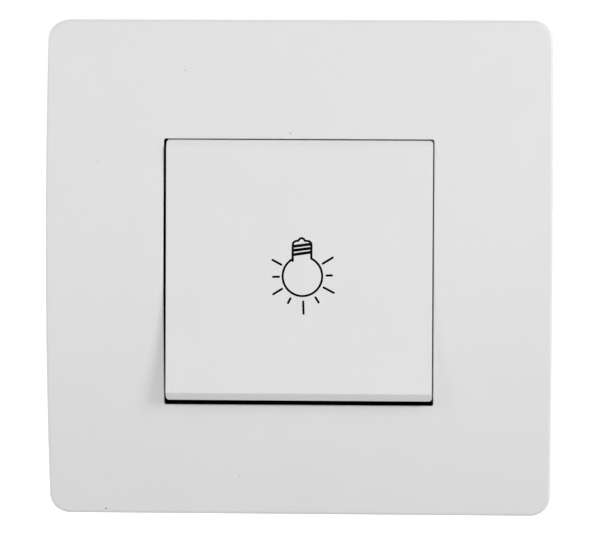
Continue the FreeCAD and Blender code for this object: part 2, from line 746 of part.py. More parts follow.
def moving_contact():
    """The copper see-saw that rocks on the knife edge."""
    front, back = notch_depth - contact_thickness, notch_depth
    eased = front + contact_edge_cut_y
    outline = [(eased, -contact_bottom), (front, -contact_bottom + contact_edge_cut_z),
               (front, contact_top - contact_edge_cut_z), (eased, contact_top),
               (back, contact_top), (back, -contact_bottom)]
    half = contact_width / 2
    plate = prism_x(outline, -half, half)
    cheeks = [box(x, x + contact_cheek, front - contact_cheek_height, back,
                  -contact_cheek_half, contact_cheek_half)
              for x in (-half, half - contact_cheek)]
    plate = joined([plate] + cheeks)
    far = back + spare
    notch = prism_x([(0, 0), (far, far * notch_slope), (far, -far * notch_slope)],
                    -contact_width, contact_width)
    cradle = rod_x(knife_radius + knife_gap, -contact_width, contact_width, 0, 0)
    plate = plate.cut(notch.fuse(cradle))
    plate.rotate(V(0, 0, 0), V(1, 0, 0), see_saw_rest)
    plate.translate(V(0, contact_axis_y, 0))
    return plate


def moving_contact_tip():
    """The silver tip on the see-saw."""
    tip = dome_tip(notch_depth + tip_thickness, tip_height, 1)
    tip.rotate(V(0, 0, 0), V(1, 0, 0), see_saw_rest)
    tip.translate(V(0, contact_axis_y, 0))
    return tip


def fixed_strip_face():
    """The plane of the fixed strip's front face."""
    return closed_tip_place()[0] + tip_thickness


def fixed_contact_tip():
    """The silver tip on the fixed strip."""
    y, z = closed_tip_place()
    return dome_tip(y, z, -1)


def strip_tongue(side, face):
    """The end of a brass strip that lies in its clamp."""
    x0 = side * terminal_x - strip_width / 2
    z0, z1 = sorted((side * tongue_edge, side * (tongue_edge + strip_thickness)))
    return box(x0, x0 + strip_width, face, clamp_front + clamp_depth - tongue_gap, z0, z1)


def common_strip():
    """The brass strip of the common terminal, with the knife edge that the see-saw rocks on."""
    face, back = knife_post_face, knife_post_face + strip_thickness
    half = contact_width / 2
    low = -tongue_edge - strip_thickness
    outer = -terminal_x - strip_width / 2
    plate = prism_y([(outer, low), (half, low), (half, strip_width / 2), (-half, strip_width / 2),
                     (-half, -strip_inner_edge), (outer, -strip_inner_edge)], face, back)
    root = face + weld
    spread = math.tan(math.radians(knife_half_angle)) * (root - contact_axis_y)
    knife = prism_x([(contact_axis_y, 0), (root, spread), (root, -spread)], -half, half)
    edge = rod_x(knife_radius, -half, half, contact_axis_y, 0)
    return joined([plate, knife, edge, strip_tongue(-1, face)])


def fixed_strip():
    """The brass strip of the switched terminal, behind the fixed tip."""
    face = fixed_strip_face()
    half = contact_width / 2
    high = tongue_edge + strip_thickness
    outer = terminal_x + strip_width / 2
    plate = prism_y([(-half, strip_inner_edge), (outer, strip_inner_edge), (outer, high),
                     (-half, high)],
                    face, face + strip_thickness)
    return joined([plate, strip_tongue(1, face)])


def conductor_z():
    """Height of the conductor's axis from the middle plane."""
    tongue_outer = tongue_edge + strip_thickness
    return (tongue_outer + clamp_inner_edge + clamp_height - clamp_thread_wall) / 2


def terminal_clamp(side):
    """The cage that a terminal's screw draws onto the wire."""
    x = side * terminal_x
    y0, y1 = clamp_front, clamp_front + clamp_depth
    edges = (clamp_inner_edge, clamp_inner_edge + clamp_height)
    z0, z1 = sorted(side * e for e in edges)
    block = box(x - clamp_width / 2, x + clamp_width / 2, y0, y1, z0, z1)
    upright = [e for e in block.Edges if runs_along(e, 1)]
    block = block.makeChamfer(clamp_corner_cut, upright)
    z0, z1 = sorted((side * (edges[0] + clamp_inner_wall), side * (edges[1] - clamp_thread_wall)))
    half = clamp_width / 2 - clamp_side_wall
    block = block.cut(box(x - half, x + half, y0 - 1, y1 + 1, z0, z1))
    z0, z1 = sorted((side * (edges[1] - clamp_thread_wall - 0.5), side * (edges[1] + 1)))
    return block.cut(rod_z(terminal_screw_radius + fit_clearance, z0, z1, x, (y0 + y1) / 2))


def terminal_screw(side):
    """A clamp's screw, reached from the edge of the base."""
    x, y = side * terminal_x, clamp_front + clamp_depth / 2
    head_seat = clamp_inner_edge + clamp_height + terminal_head_gap
    z0, z1 = sorted((side * (clamp_inner_edge + clamp_height - clamp_thread_wall),
                     side * (head_seat + weld)))
    shank = rod_z(terminal_screw_radius, z0, z1, x, y)
    outer = head_seat + terminal_screw_head_height
    z0, z1 = sorted((side * head_seat, side * outer))
    head = rod_z(terminal_screw_head_radius, z0, z1, x, y)
    z0, z1 = sorted((side * (outer - screw_slot_depth), side * (outer + 1)))
    slot = box(x - terminal_screw_head_radius - 1, x + terminal_screw_head_radius + 1,
               y - screw_slot_width / 2, y + screw_slot_width / 2, z0, z1)
    return joined([shank, head.cut(slot)])


def claw():
    """A pressed steel claw: barrel on its pin, fork for the screw and toothed arm."""
    px, py = claw_pivot_x, claw_pivot_y
    z0, z1 = -claw_drop - claw_width / 2, -claw_drop + claw_width / 2
    t = claw_thickness
    barrel = rod_z(claw_barrel_radius, z0, z1, px, py)
    fork = box(px, px + claw_fork_length, py - t / 2, py + t / 2, z0, z1)
    end_x, end_y = px + t / 2, py + claw_reach
    toe_x, toe_y = end_x + claw_foot * toe_across, end_y + claw_foot * toe_back
    arm = prism_z([(px - t / 2, py), (end_x, py), (end_x, end_y - t * bend_share),
                   (toe_x, toe_y - t), (toe_x - toe_edge, toe_y), (end_x - t, end_y)], z0, z1)
    whole = joined([barrel, fork, arm])
    slot = claw_screw_radius + claw_fork_gap
    whole = whole.cut(box(px + claw_fork_slot_start, px + claw_fork_length + spare, py - t, py + t,
                          -claw_drop - slot, -claw_drop + slot))
    pitch = claw_width / claw_teeth
    for tooth in range(claw_teeth):
        middle = z0 + (tooth + 0.5) * pitch
        mouth = toe_x + tooth_overrun
        notch = prism_y([(mouth, middle - pitch / 2), (toe_x - claw_tooth_depth, middle),
                         (mouth, middle + pitch / 2)], end_y - 2 * spare, toe_y + spare)
        whole = whole.cut(notch)
    return whole.cut(rod_z(claw_pin_radius + fit_clearance, z0 - 1, z1 + 1, px, py))


def claw_pins():
    """The two pins that the claws swing on."""
    half = claw_width / 2 + claw_end_play + claw_ear_thickness
    pins = [rod_z(claw_pin_radius, -claw_drop - half, -claw_drop + half, side * claw_pivot_x,
                  claw_pivot_y) for side in (-1, 1)]
    return Part.makeCompound(pins)


def claw_nut():
    """The rocking nut behind a claw's fork."""
    y = claw_pivot_y + nut_rest_offset
    z0, z1 = -claw_drop - nut_half_width, -claw_drop + nut_half_width
    front = rod_z(nut_round_radius, z0, z1, claw_screw_x, y)
    reach = nut_round_radius + spare
    front = front.common(box(claw_screw_x - reach, claw_screw_x + reach, y - reach, y + nut_back,
                             z0, z1))
    return front.cut(rod_y(claw_screw_radius + fit_clearance, y - reach, y + reach,
                           claw_screw_x, -claw_drop))


def claw_screw():
    """The screw that draws a claw's nut forward."""
    x, z = claw_screw_x, -claw_drop
    under = bridge_front
    shank = rod_y(claw_screw_radius, under - weld, claw_screw_end, x, z)
    head = rod_y(claw_screw_head_radius, under - claw_screw_head_height, under, x, z)
    reach = claw_screw_head_radius + spare
    slot = box(x - reach, x + reach, under - claw_screw_head_height - spare,
               under - claw_screw_head_height + screw_slot_depth,
               z - screw_slot_width / 2, z + screw_slot_width / 2)
    return joined([shank, head.cut(slot)])


def build():
    """Every node's name and solid."""
    nodes = {
        "cover_frame": cover_frame(),
        "button_surround": button_surround(),
        "button_cap": button_cap(),
        "button_yoke": button_yoke(),
        "contact_plunger": contact_plunger(),
        "plunger_spring": plunger_spring(),
        "return_spring": return_spring(),
        "support_bridge": support_bridge(),
        "mechanism_cover": mechanism_cover(),
        "mechanism_base": mechanism_base(),
        "moving_contact": moving_contact(),
        "moving_contact_tip": moving_contact_tip(),
        "fixed_contact_tip": fixed_contact_tip(),
        "common_strip": common_strip(),
        "switched_strip": fixed_strip(),
        "claw_pins": claw_pins(),
    }
    for name, side in (("common", -1), ("switched", 1)):
        nodes[name + "_clamp"] = terminal_clamp(side)
        nodes[name + "_screw"] = terminal_screw(side)
    for name, make in (("claw", claw), ("claw_nut", claw_nut), ("claw_screw", claw_screw)):
        right = make()
        nodes[name + "_right"] = right
        nodes[name + "_left"] = mirrored(right)
    return nodes


os.makedirs("parts", exist_ok=True)
for name, shape in build().items():
    if shape.ShapeType == "Compound" and len(shape.Solids) == 1:
        shape = shape.Solids[0]
    print(name, shape.ShapeType, len(shape.Solids), shape.isValid(), round(shape.Volume, 2))
    shape.exportStep("parts/" + name + ".step")
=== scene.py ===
"""Looks of the flush push-button light switch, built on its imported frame.

Sizes in the classes are in millimetres, in the frame's own axes: X to the right as the switch
is looked at, Y into the wall, Z up, with the origin in the wall's plane behind the button.
"""

import logging
import math
from collections.abc import Callable, Iterable
from dataclasses import dataclass
from enum import Enum

import bmesh
import bpy
from bmesh.types import BMEdge, BMesh, BMVert
from mathutils import Matrix, Vector


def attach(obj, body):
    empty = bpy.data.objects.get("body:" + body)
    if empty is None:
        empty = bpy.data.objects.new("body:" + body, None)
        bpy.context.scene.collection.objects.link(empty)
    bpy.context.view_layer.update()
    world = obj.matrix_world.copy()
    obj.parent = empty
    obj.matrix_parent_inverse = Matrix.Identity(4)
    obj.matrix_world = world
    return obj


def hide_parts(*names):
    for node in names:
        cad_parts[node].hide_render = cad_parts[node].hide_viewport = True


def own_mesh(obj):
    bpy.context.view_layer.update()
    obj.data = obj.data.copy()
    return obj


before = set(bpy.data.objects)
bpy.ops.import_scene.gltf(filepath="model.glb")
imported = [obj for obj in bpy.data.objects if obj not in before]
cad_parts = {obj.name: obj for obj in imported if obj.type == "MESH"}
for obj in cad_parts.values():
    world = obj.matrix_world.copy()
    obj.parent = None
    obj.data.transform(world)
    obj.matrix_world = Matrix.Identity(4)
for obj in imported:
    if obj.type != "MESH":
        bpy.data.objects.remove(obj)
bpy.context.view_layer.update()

MM = 0.001
SHARP_FROM = math.radians(32)
MERGE_WITHIN = 1e-5
BRIDGE_APART = 50.0
STRAIGHT = 0.999
PHOTO_SIZE = (600, 534)
log = logging.getLogger("switch")

# Each speck of dust: its X, Z and radius in millimetres
DUST = ((-1.42, 22.84, 0.15), (-32.53, -40.64, 0.19), (-18.94, 33.08, 0.12), (-33.24, 18.08, 0.09),
        (-9.96, -34.81, 0.09), (-9.10, -35.50, 0.06), (-8.18, -35.90, 0.08), (-17.33, 38.83, 0.06),
        (-9.21, -27.37, 0.06), (-10.33, -27.55, 0.05), (-29.01, -23.24, 0.06),
        (-22.32, -26.59, 0.06), (-32.46, -34.66, 0.06), (24.56, -18.26, 0.05),
        (-2.75, 15.22, 0.05), (17.20, -19.94, 0.05))

Colour = tuple[float, float, float]
DUST_COLOUR: Colour = (0.10, 0.095, 0.085)
DUST_CORE = 0.5
DUST_FACING = -0.2


class Body(Enum):
    """The frame's bodies that new pieces ride on."""

    BASE = "base"
    BUTTON = "button"
    SCREW_LEFT = "claw_screw_left"
    SCREW_RIGHT = "claw_screw_right"


# Mesh helpers


def add_block(bm: BMesh, low: Iterable[float], high: Iterable[float]) -> list[BMVert]:
    """Adds a box between two corners.

    Args:
        bm: The mesh that gets the box.
        low: The lowest corner.
        high: The highest corner.

    Returns:
        The box's eight vertices.
    """
    a, b = Vector(low), Vector(high)
    made = bmesh.ops.create_cube(bm, size=1.0)["verts"]
    bmesh.ops.scale(bm, vec=b - a, verts=made)
    bmesh.ops.translate(bm, vec=(a + b) / 2, verts=made)
    return made


def edges_between(verts: Iterable[BMVert], keep: Callable[[BMEdge], bool]) -> list[BMEdge]:
    """Lists the edges that join some vertices and pass a test.

    Args:
        verts: The vertices.
        keep: The test.

    Returns:
        Each such edge once.
    """
    inside = set(verts)
    found = {e for v in inside for e in v.link_edges if e.other_vert(v) in inside and keep(e)}
    return sorted(found, key=lambda e: e.index)


def along(axis: int) -> Callable[[BMEdge], bool]:
    """Makes a test for edges that run along an axis.

    Args:
        axis: 0, 1 or 2 for X, Y or Z.

    Returns:
        The test.
    """
    def test(edge: BMEdge) -> bool:
        """True for an edge along the axis."""
        way = edge.verts[1].co - edge.verts[0].co
        return way.length > 0.0 and abs(way[axis]) > STRAIGHT * way.length
    return test


def soften(bm: BMesh, edges: Iterable[BMEdge], width: float, segments: int) -> None:
    """Rounds some edges.

    Args:
        bm: The mesh.
        edges: The edges to round.
        width: How far the round reaches from each edge.
        segments: The steps of the round.
    """
    bmesh.ops.bevel(bm, geom=list(edges), offset=width, offset_type="OFFSET", segments=segments,
                    profile=0.5, affect="EDGES", clamp_overlap=True, material=-1)


def add_loop(bm: BMesh, width: float, height: float, radius: float, y: float, z: float,
             segments: int) -> list[BMEdge]:
    """Adds a closed rounded rectangle that faces along Y.

    Args:
        bm: The mesh.
        width: Its size along X.
        height: Its size along Z.
        radius: The corners' radius.
        y: Its place along Y.
        z: Its middle's place along Z.
        segments: The steps of each corner.

    Returns:
        The loop's edges.
    """
    turn = Matrix.Rotation(math.radians(90), 4, "X")
    size = Matrix.Diagonal((width, 1.0, height, 1.0))
    place = Matrix.Translation((0.0, y, z)) @ size @ turn
    verts = bmesh.ops.create_grid(bm, x_segments=1, y_segments=1, size=0.5, matrix=place)["verts"]
    face = verts[0].link_faces[0]
    made = bmesh.ops.bevel(bm, geom=list(face.verts), offset=radius, offset_type="OFFSET",
                           segments=segments, profile=0.5, affect="VERTICES", material=-1)
    faces = {f for v in made["verts"] for f in v.link_faces}
    edges = sorted({e for f in faces for e in f.edges}, key=lambda e: e.index)
    bmesh.ops.delete(bm, geom=list(faces), context="FACES_ONLY")
    return edges


def bridge(bm: BMesh, first: list[BMEdge], second: list[BMEdge]) -> None:
    """Joins two closed loops with a ring of faces.

    The second is held apart along Y meanwhile, as two loops in one plane can be joined crosswise.

    Args:
        bm: The mesh.
        first: One loop's edges.
        second: The other's.
    """
    verts = list({v for e in second for v in e.verts})
    bmesh.ops.translate(bm, vec=(0.0, BRIDGE_APART, 0.0), verts=verts)
    bmesh.ops.bridge_loops(bm, edges=first + second)
    bmesh.ops.translate(bm, vec=(0.0, -BRIDGE_APART, 0.0), verts=verts)


def add_snap_leg(bm: BMesh, x: float, z: float, size: tuple[float, float], front: float,
                 back: float, barb: float, grip: float) -> None:
    """Adds a leg along Y with a barb on its side away from the middle in Z.

    Args:
        bm: The mesh.
        x: The leg's middle along X.
        z: Its middle along Z.
        size: Its width and thickness.
        front: Where it starts along Y.
        back: Where it ends.
        barb: The barb's length.
        grip: How far the barb stands out.
    """
    wide, thick = size
    side = math.copysign(1, z)
    add_block(bm, (x - wide / 2, front, z - thick / 2), (x + wide / 2, back, z + thick / 2))
    near, far = sorted((z + side * thick / 4, z + side * (thick / 2 + grip)))
    for vert in add_block(bm, (x - wide / 2, back - barb, near), (x + wide / 2, back, far)):
        if abs(vert.co.z) > abs(z) + thick / 2 and vert.co.y > back - barb / 2:
            vert.co.z = z + side * thick / 2


def slice_levels(bm: BMesh, low: float, high: float, step: float) -> None:
    """Cuts a mesh across Z at even levels, so that it can follow a bow.

    Args:
        bm: The mesh.
        low: The lowest level.
        high: The highest level.
        step: The distance between two levels.
    """
    count = round((high - low) / step)
    for index in range(count + 1):
        level = low + (high - low) * index / count
        geometry = bm.verts[:] + bm.edges[:] + bm.faces[:]
        bmesh.ops.bisect_plane(bm, geom=geometry, dist=MERGE_WITHIN, plane_co=(0, 0, level),
                               plane_no=(0, 0, 1))


def finish_mesh(bm: BMesh, name: str, place: Matrix | None = None) -> bpy.types.Object:
    """Turns a mesh in millimetres into a shaded object at its place in metres.

    Args:
        bm: The mesh, which is used up.
        name: The object's name.
        place: Where the mesh goes, in millimetres.

    Returns:
        The object, at the origin, with its place in its mesh.
    """
    whole = Matrix.Scale(MM, 4) @ (place or Matrix.Identity(4))
    bmesh.ops.remove_doubles(bm, verts=bm.verts, dist=MERGE_WITHIN)
    bmesh.ops.transform(bm, matrix=whole, verts=bm.verts)
    bmesh.ops.recalc_face_normals(bm, faces=bm.faces)
    for face in bm.faces:
        face.smooth = True
    for edge in bm.edges:
        edge.smooth = not (edge.is_manifold and edge.calc_face_angle(0.0) > SHARP_FROM)
    mesh = bpy.data.meshes.new(name)
    bm.to_mesh(mesh)
    bm.free()
    piece = bpy.data.objects.new(name, mesh)
    bpy.context.scene.collection.objects.link(piece)
    return piece


def even_shading(piece: bpy.types.Object) -> None:
    """Lets large faces lead a piece's shading over its narrow rounds.

    Args:
        piece: The piece.
    """
    shading = piece.modifiers.new("even_shading", "WEIGHTED_NORMAL")
    shading.keep_sharp = True
    shading.weight = 100


def carve(bm: BMesh, tool: BMesh) -> BMesh:
    """Cuts one closed mesh out of another.

    Args:
        bm: The mesh that is cut, which is used up.
        tool: The mesh that cuts, which is used up.

    Returns:
        The cut mesh.
    """
    stock, cutter = [bpy.data.objects.new(n, bpy.data.meshes.new(n)) for n in ("stock", "cutter")]
    for mesh, source in ((stock.data, bm), (cutter.data, tool)):
        bmesh.ops.recalc_face_normals(source, faces=source.faces)
        source.to_mesh(mesh)
        source.free()
    for thing in (stock, cutter):
        bpy.context.scene.collection.objects.link(thing)
    cut = stock.modifiers.new("cut", "BOOLEAN")
    cut.operation, cut.solver, cut.object = "DIFFERENCE", "EXACT", cutter
    bpy.context.view_layer.update()
    shown = stock.evaluated_get(bpy.context.evaluated_depsgraph_get())
    result = bmesh.new()
    result.from_mesh(shown.to_mesh())
    shown.to_mesh_clear()
    for thing in (stock, cutter):
        mesh = thing.data
        bpy.data.objects.remove(thing)
        bpy.data.meshes.remove(mesh)
    return result


def direction(azimuth: float, elevation: float) -> Vector:
    """Finds the way from the switch to a point around it.

    Args:
        azimuth: The degrees from the front to the right.
        elevation: The degrees above the level.

    Returns:
        The way, one unit long.
    """
    a, e = math.radians(azimuth), math.radians(elevation)
    return Vector((math.sin(a) * math.cos(e), -math.cos(a) * math.cos(e), math.sin(e)))


# Node groups shared by the finishes


class Wiring:
    """A node tree with short calls to add and join its nodes."""

    def __init__(self, tree: bpy.types.NodeTree) -> None:
        """Keeps the tree that nodes are added to."""
        self.tree = tree

    def node(self, kind: str, **settings: object) -> bpy.types.Node:
        """Adds a node.

        Args:
            kind: Its Blender type, without the ShaderNode in front.
            **settings: Its properties and, by an inputs dictionary, its sockets' values.

        Returns:
            The node.
        """
        made = self.tree.nodes.new("ShaderNode" + kind)
        values = dict(settings.pop("inputs", {}))
        for key, value in settings.items():
            setattr(made, key, value)
        for socket, value in values.items():
            made.inputs[socket].default_value = value
        return made

    def join(self, out: bpy.types.NodeSocket, into: bpy.types.NodeSocket) -> None:
        """Links two sockets."""
        self.tree.links.new(out, into)

    def feed(self, socket: bpy.types.NodeSocket, value: object) -> None:
        """Gives a socket a number or another socket's result."""
        if isinstance(value, bpy.types.NodeSocket):
            self.join(value, socket)
        else:
            socket.default_value = value

    def math(self, operation: str, first: object, second: object) -> bpy.types.NodeSocket:
        """Adds a sum of two values or sockets.

        Args:
            operation: Blender's name of the sum.
            first: A number or a socket.
            second: A number or a socket.

        Returns:
            The result's socket.
        """
        made = self.node("Math", operation=operation)
        for socket, value in zip(made.inputs, (first, second)):
            self.feed(socket, value)
        return made.outputs[0]

    def spread(self, value: bpy.types.NodeSocket, low: float, high: float,
               new_low: object, new_high: object) -> bpy.types.NodeSocket:
        """Maps a range of values to another and holds it there.

        Args:
            value: The socket to map.
            low: The old range's start.
            high: The old range's end.
            new_low: The new range's start, a number or a socket.
            new_high: The new range's end, a number or a socket.

        Returns:
            The mapped socket.
        """
        made = self.node("MapRange", inputs={"From Min": low, "From Max": high})
        self.join(value, made.inputs["Value"])
        self.feed(made.inputs["To Min"], new_low)
        self.feed(made.inputs["To Max"], new_high)
        return made.outputs["Result"]


def open_group(name: str, inputs: dict[str, str], outputs: dict[str, str]
               ) -> tuple[bpy.types.NodeTree, Wiring, bpy.types.Node, bpy.types.Node]:
    """Starts a shader node group with named sockets.

    Args:
        name: The group's name.
        inputs: Each input's name and socket type, without NodeSocket in front.
        outputs: The same for the outputs.

    Returns:
        The group, its wiring, and its input and output nodes.
    """
    group = bpy.data.node_groups.new(name, "ShaderNodeTree")
    for sockets, way in ((inputs, "INPUT"), (outputs, "OUTPUT")):
        for socket, kind in sockets.items():
            group.interface.new_socket(socket, in_out=way, socket_type="NodeSocket" + kind)
    return (group, Wiring(group), group.nodes.new("NodeGroupInput"),
            group.nodes.new("NodeGroupOutput"))


def mould_grain_group() -> bpy.types.NodeTree:
    """Builds the fine satin grain that a spark-eroded mould leaves on plastic.

    Returns:
        A group with the grain's height in metres and a soft mottle from 0 to 1.
    """
    group, w, given, result = open_group(
        "mould_grain", {"Size": "Float", "Depth": "Float"}, {"Height": "Float", "Mottle": "Float"})
    place = w.node("TexCoord").outputs["Object"]
    scale = w.math("DIVIDE", 1.0, given.outputs["Size"])
    fine = w.node("TexNoise", inputs={"Detail": 2.0, "Roughness": 0.6})
    pits = w.node("TexVoronoi", feature="SMOOTH_F1", inputs={"Smoothness": 0.6})
    soft = w.node("TexNoise", inputs={"Scale": 90.0, "Detail": 3.0})
    for texture in (fine, pits, soft):
        w.join(place, texture.inputs["Vector"])
    w.join(scale, fine.inputs["Scale"])
    w.join(w.math("MULTIPLY", scale, 0.55), pits.inputs["Scale"])
    mix = w.math("ADD", fine.outputs["Fac"], w.math("MULTIPLY", pits.outputs["Distance"], 0.5))
    w.join(w.math("MULTIPLY", mix, given.outputs["Depth"]), result.inputs["Height"])
    w.join(w.spread(soft.outputs["Fac"], 0.3, 0.7, 0.0, 1.0), result.inputs["Mottle"])
    return group


def metal_lines_group() -> bpy.types.NodeTree:
    """Builds the drawn lines and stains of worked metal.

    Returns:
        A group with lines from 0 to 1, their height in metres, and a stain from 0 to 1.
    """
    group, w, given, result = open_group(
        "metal_lines", {"Size": "Float", "Depth": "Float"},
        {"Lines": "Float", "Height": "Float", "Stain": "Float"})
    place = w.node("TexCoord").outputs["Object"]
    stretch = w.node("Mapping", inputs={"Scale": (0.06, 1.0, 1.0)})
    w.join(place, stretch.inputs["Vector"])
    lines = w.node("TexNoise", inputs={"Detail": 3.0, "Roughness": 0.7})
    w.join(stretch.outputs["Vector"], lines.inputs["Vector"])
    w.join(w.math("DIVIDE", 1.0, given.outputs["Size"]), lines.inputs["Scale"])
    stain = w.node("TexNoise", inputs={"Scale": 260.0, "Detail": 4.0, "Roughness": 0.65})
    w.join(place, stain.inputs["Vector"])
    level = w.spread(lines.outputs["Fac"], 0.3, 0.7, 0.0, 1.0)
    w.join(level, result.inputs["Lines"])
    w.join(w.math("MULTIPLY", level, given.outputs["Depth"]), result.inputs["Height"])
    w.join(w.spread(stain.outputs["Fac"], 0.45, 0.75, 0.0, 1.0), result.inputs["Stain"])
    return group


def dust_group() -> bpy.types.NodeTree:
    """Builds the specks of dust that lie on the switch's front.

    Returns:
        A group with the specks' mask from 0 to 1.
    """
    group, w, given, result = open_group("dust", {"Amount": "Float"}, {"Mask": "Float"})
    surface = w.node("TexCoord").outputs
    flat = w.node("Mapping", inputs={"Scale": (1.0, 0.0, 1.0)})
    facing = w.node("SeparateXYZ")
    w.join(surface["Object"], flat.inputs["Vector"])
    w.join(surface["Normal"], facing.inputs["Vector"])
    mask = 0.0
    for x, z, radius in DUST:
        reach = w.node("VectorMath", operation="DISTANCE", inputs={1: (x * MM, 0.0, z * MM)})
        w.join(flat.outputs["Vector"], reach.inputs[0])
        speck = w.spread(reach.outputs["Value"], DUST_CORE * radius * MM, radius * MM, 1.0, 0.0)
        mask = w.math("MAXIMUM", mask, speck)
    front = w.math("LESS_THAN", facing.outputs["Y"], DUST_FACING)
    lying = w.math("MULTIPLY", mask, front)
    w.join(w.math("MULTIPLY", lying, given.outputs["Amount"]), result.inputs["Mask"])
    return group


# Finishes


class Shader(Wiring):
    """A material's wiring, with its Principled BSDF at hand."""

    def __init__(self, name: str) -> None:
        """Starts the material.

        Args:
            name: The material's name.
        """
        self.material = bpy.data.materials.new(name)
        self.material.use_nodes = True
        super().__init__(self.material.node_tree)
        self.surface = self.tree.nodes["Principled BSDF"]

    def grouped(self, group: bpy.types.NodeTree, **values: float) -> bpy.types.Node:
        """Places a shared group.

        Args:
            group: The group.
            **values: Its inputs' values.

        Returns:
            The group's node.
        """
        made = self.node("Group", node_tree=group)
        for key, value in values.items():
            made.inputs[key].default_value = value
        return made

    def tinted(self, factor: bpy.types.NodeSocket, low: Colour, high: Colour) -> None:
        """Colours the surface between two colours.

        Args:
            factor: The mask, 0 to 1.
            low: The colour at 0.
            high: The colour at 1.
        """
        self.mixed(factor, (*low, 1.0), high)

    def overlaid(self, mask: bpy.types.NodeSocket, colour: Colour) -> None:
        """Lays a colour over the surface's own.

        Args:
            mask: Where it lies, 0 to 1.
            colour: The colour.
        """
        base = self.surface.inputs["Base Color"]
        self.mixed(mask, base.links[0].from_socket, colour)

    def mixed(self, factor: bpy.types.NodeSocket, low: object, high: Colour) -> None:
        """Mixes two colours into the surface's own.

        Args:
            factor: The mask, 0 to 1.
            low: The colour at 0, four numbers or a socket.
            high: The colour at 1.
        """
        mix = self.node("Mix", data_type="RGBA")
        self.join(factor, mix.inputs["Factor"])
        self.feed(mix.inputs[6], low)
        self.feed(mix.inputs[7], (*high, 1.0))
        self.join(mix.outputs[2], self.surface.inputs["Base Color"])

    def roughened(self, mask: bpy.types.NodeSocket, low: float, high: float) -> None:
        """Varies the surface's roughness.

        Args:
            mask: The variation, 0 to 1.
            low: The roughness at 0.
            high: The roughness at 1.
        """
        self.join(self.spread(mask, 0.0, 1.0, low, high), self.surface.inputs["Roughness"])

    def bumped(self, height: bpy.types.NodeSocket, strength: float) -> None:
        """Raises the surface by a height in metres.

        Args:
            height: The height.
            strength: The share of it that shows.
        """
        bump = self.node("Bump", inputs={"Strength": strength, "Distance": 1.0})
        self.join(height, bump.inputs["Height"])
        self.join(bump.outputs["Normal"], self.surface.inputs["Normal"])


@dataclass(frozen=True)
class Moulding:
    """A moulded plastic's finish."""

    name: str
    colour: Colour
    roughness: float
    grain: float = 0.22
    depth: float = 0.004
    mottle: float = 0.012
    shine: float = 0.5
    dust: float = 0.0
    variation: float = 0.03
    relief: float = 0.6

    def material(self, grain: bpy.types.NodeTree, specks: bpy.types.NodeTree
                 ) -> bpy.types.Material:
        """Builds the material.

        Args:
            grain: The shared grain group.
            specks: The shared dust group.

        Returns:
            The material.
        """
        shader = Shader(self.name)
        texture = shader.grouped(grain, Size=self.grain * MM, Depth=self.depth * MM)
        low = tuple(c * (1 - self.mottle) for c in self.colour)
        shader.tinted(texture.outputs["Mottle"], low, self.colour)
        if self.dust:
            shader.overlaid(shader.grouped(specks, Amount=self.dust).outputs["Mask"], DUST_COLOUR)
        shader.roughened(texture.outputs["Mottle"], self.roughness + self.variation,
                         self.roughness - self.variation)
        shader.surface.inputs["Specular IOR Level"].default_value = self.shine
        shader.bumped(texture.outputs["Height"], self.relief)
        return shader.material


@dataclass(frozen=True)
class Metal:
    """A metal's finish."""

    name: str
    colour: Colour
    stain: Colour
    roughness: float
    line: float = 0.12
    depth: float = 0.0015
    polish: float = 0.06
    wear: float = 0.08
    relief: float = 0.7

    def material(self, lines: bpy.types.NodeTree) -> bpy.types.Material:
        """Builds the material.

        Args:
            lines: The shared group of drawn lines.

        Returns:
            The material.
        """
        shader = Shader(self.name)
        shader.surface.inputs["Metallic"].default_value = 1.0
        texture = shader.grouped(lines, Size=self.line * MM, Depth=self.depth * MM)
        shader.tinted(texture.outputs["Stain"], self.colour, self.stain)
        shader.roughened(texture.outputs["Lines"], self.roughness - self.polish,
                         self.roughness + self.wear)
        shader.bumped(texture.outputs["Height"], self.relief)
        return shader.material


class Surface(Enum):
    """The finishes of the switch."""

    PLATE = Moulding("plate_plastic", (0.798, 0.801, 0.810), 0.42, dust=0.8)
    BUTTON = Moulding("button_plastic", (0.798, 0.802, 0.812), 0.44, dust=0.8)
    YOKE = Moulding("yoke_plastic", (0.700, 0.685, 0.640), 0.46, grain=0.3)
    WORKS = Moulding("works_plastic", (0.235, 0.245, 0.255), 0.50, grain=0.3, mottle=0.05)
    # Painted shade: the surround is near-black and has no shine, so the gap round the button shows
    # as the black of its deep shadow
    SURROUND_PAINTED_SHADE = Moulding("surround_plastic", (0.008, 0.008, 0.008), 0.62, grain=0.3, mottle=0.1,
                        shine=0.0)
    INK = Moulding("icon_ink", (0.005, 0.005, 0.006), 0.60, grain=0.1, depth=0.001, mottle=0.2,
                   shine=0.0)
    ZINC = Metal("zinc_steel", (0.560, 0.575, 0.590), (0.440, 0.455, 0.470), 0.34)
    SCREW = Metal("screw_steel", (0.560, 0.560, 0.555), (0.450, 0.450, 0.440), 0.26, line=0.08)
    SPRING = Metal("spring_steel", (0.420, 0.420, 0.425), (0.330, 0.325, 0.320), 0.24, line=0.06)
    BRASS = Metal("brass", (0.760, 0.560, 0.230), (0.600, 0.420, 0.170), 0.28)
    COPPER = Metal("copper", (0.780, 0.370, 0.220), (0.560, 0.250, 0.150), 0.30)
    SILVER = Metal("silver", (0.860, 0.855, 0.840), (0.700, 0.695, 0.680), 0.22, line=0.08)

    @property
    def slot(self) -> str:
        """The name of this finish's material."""
        return self.value.name


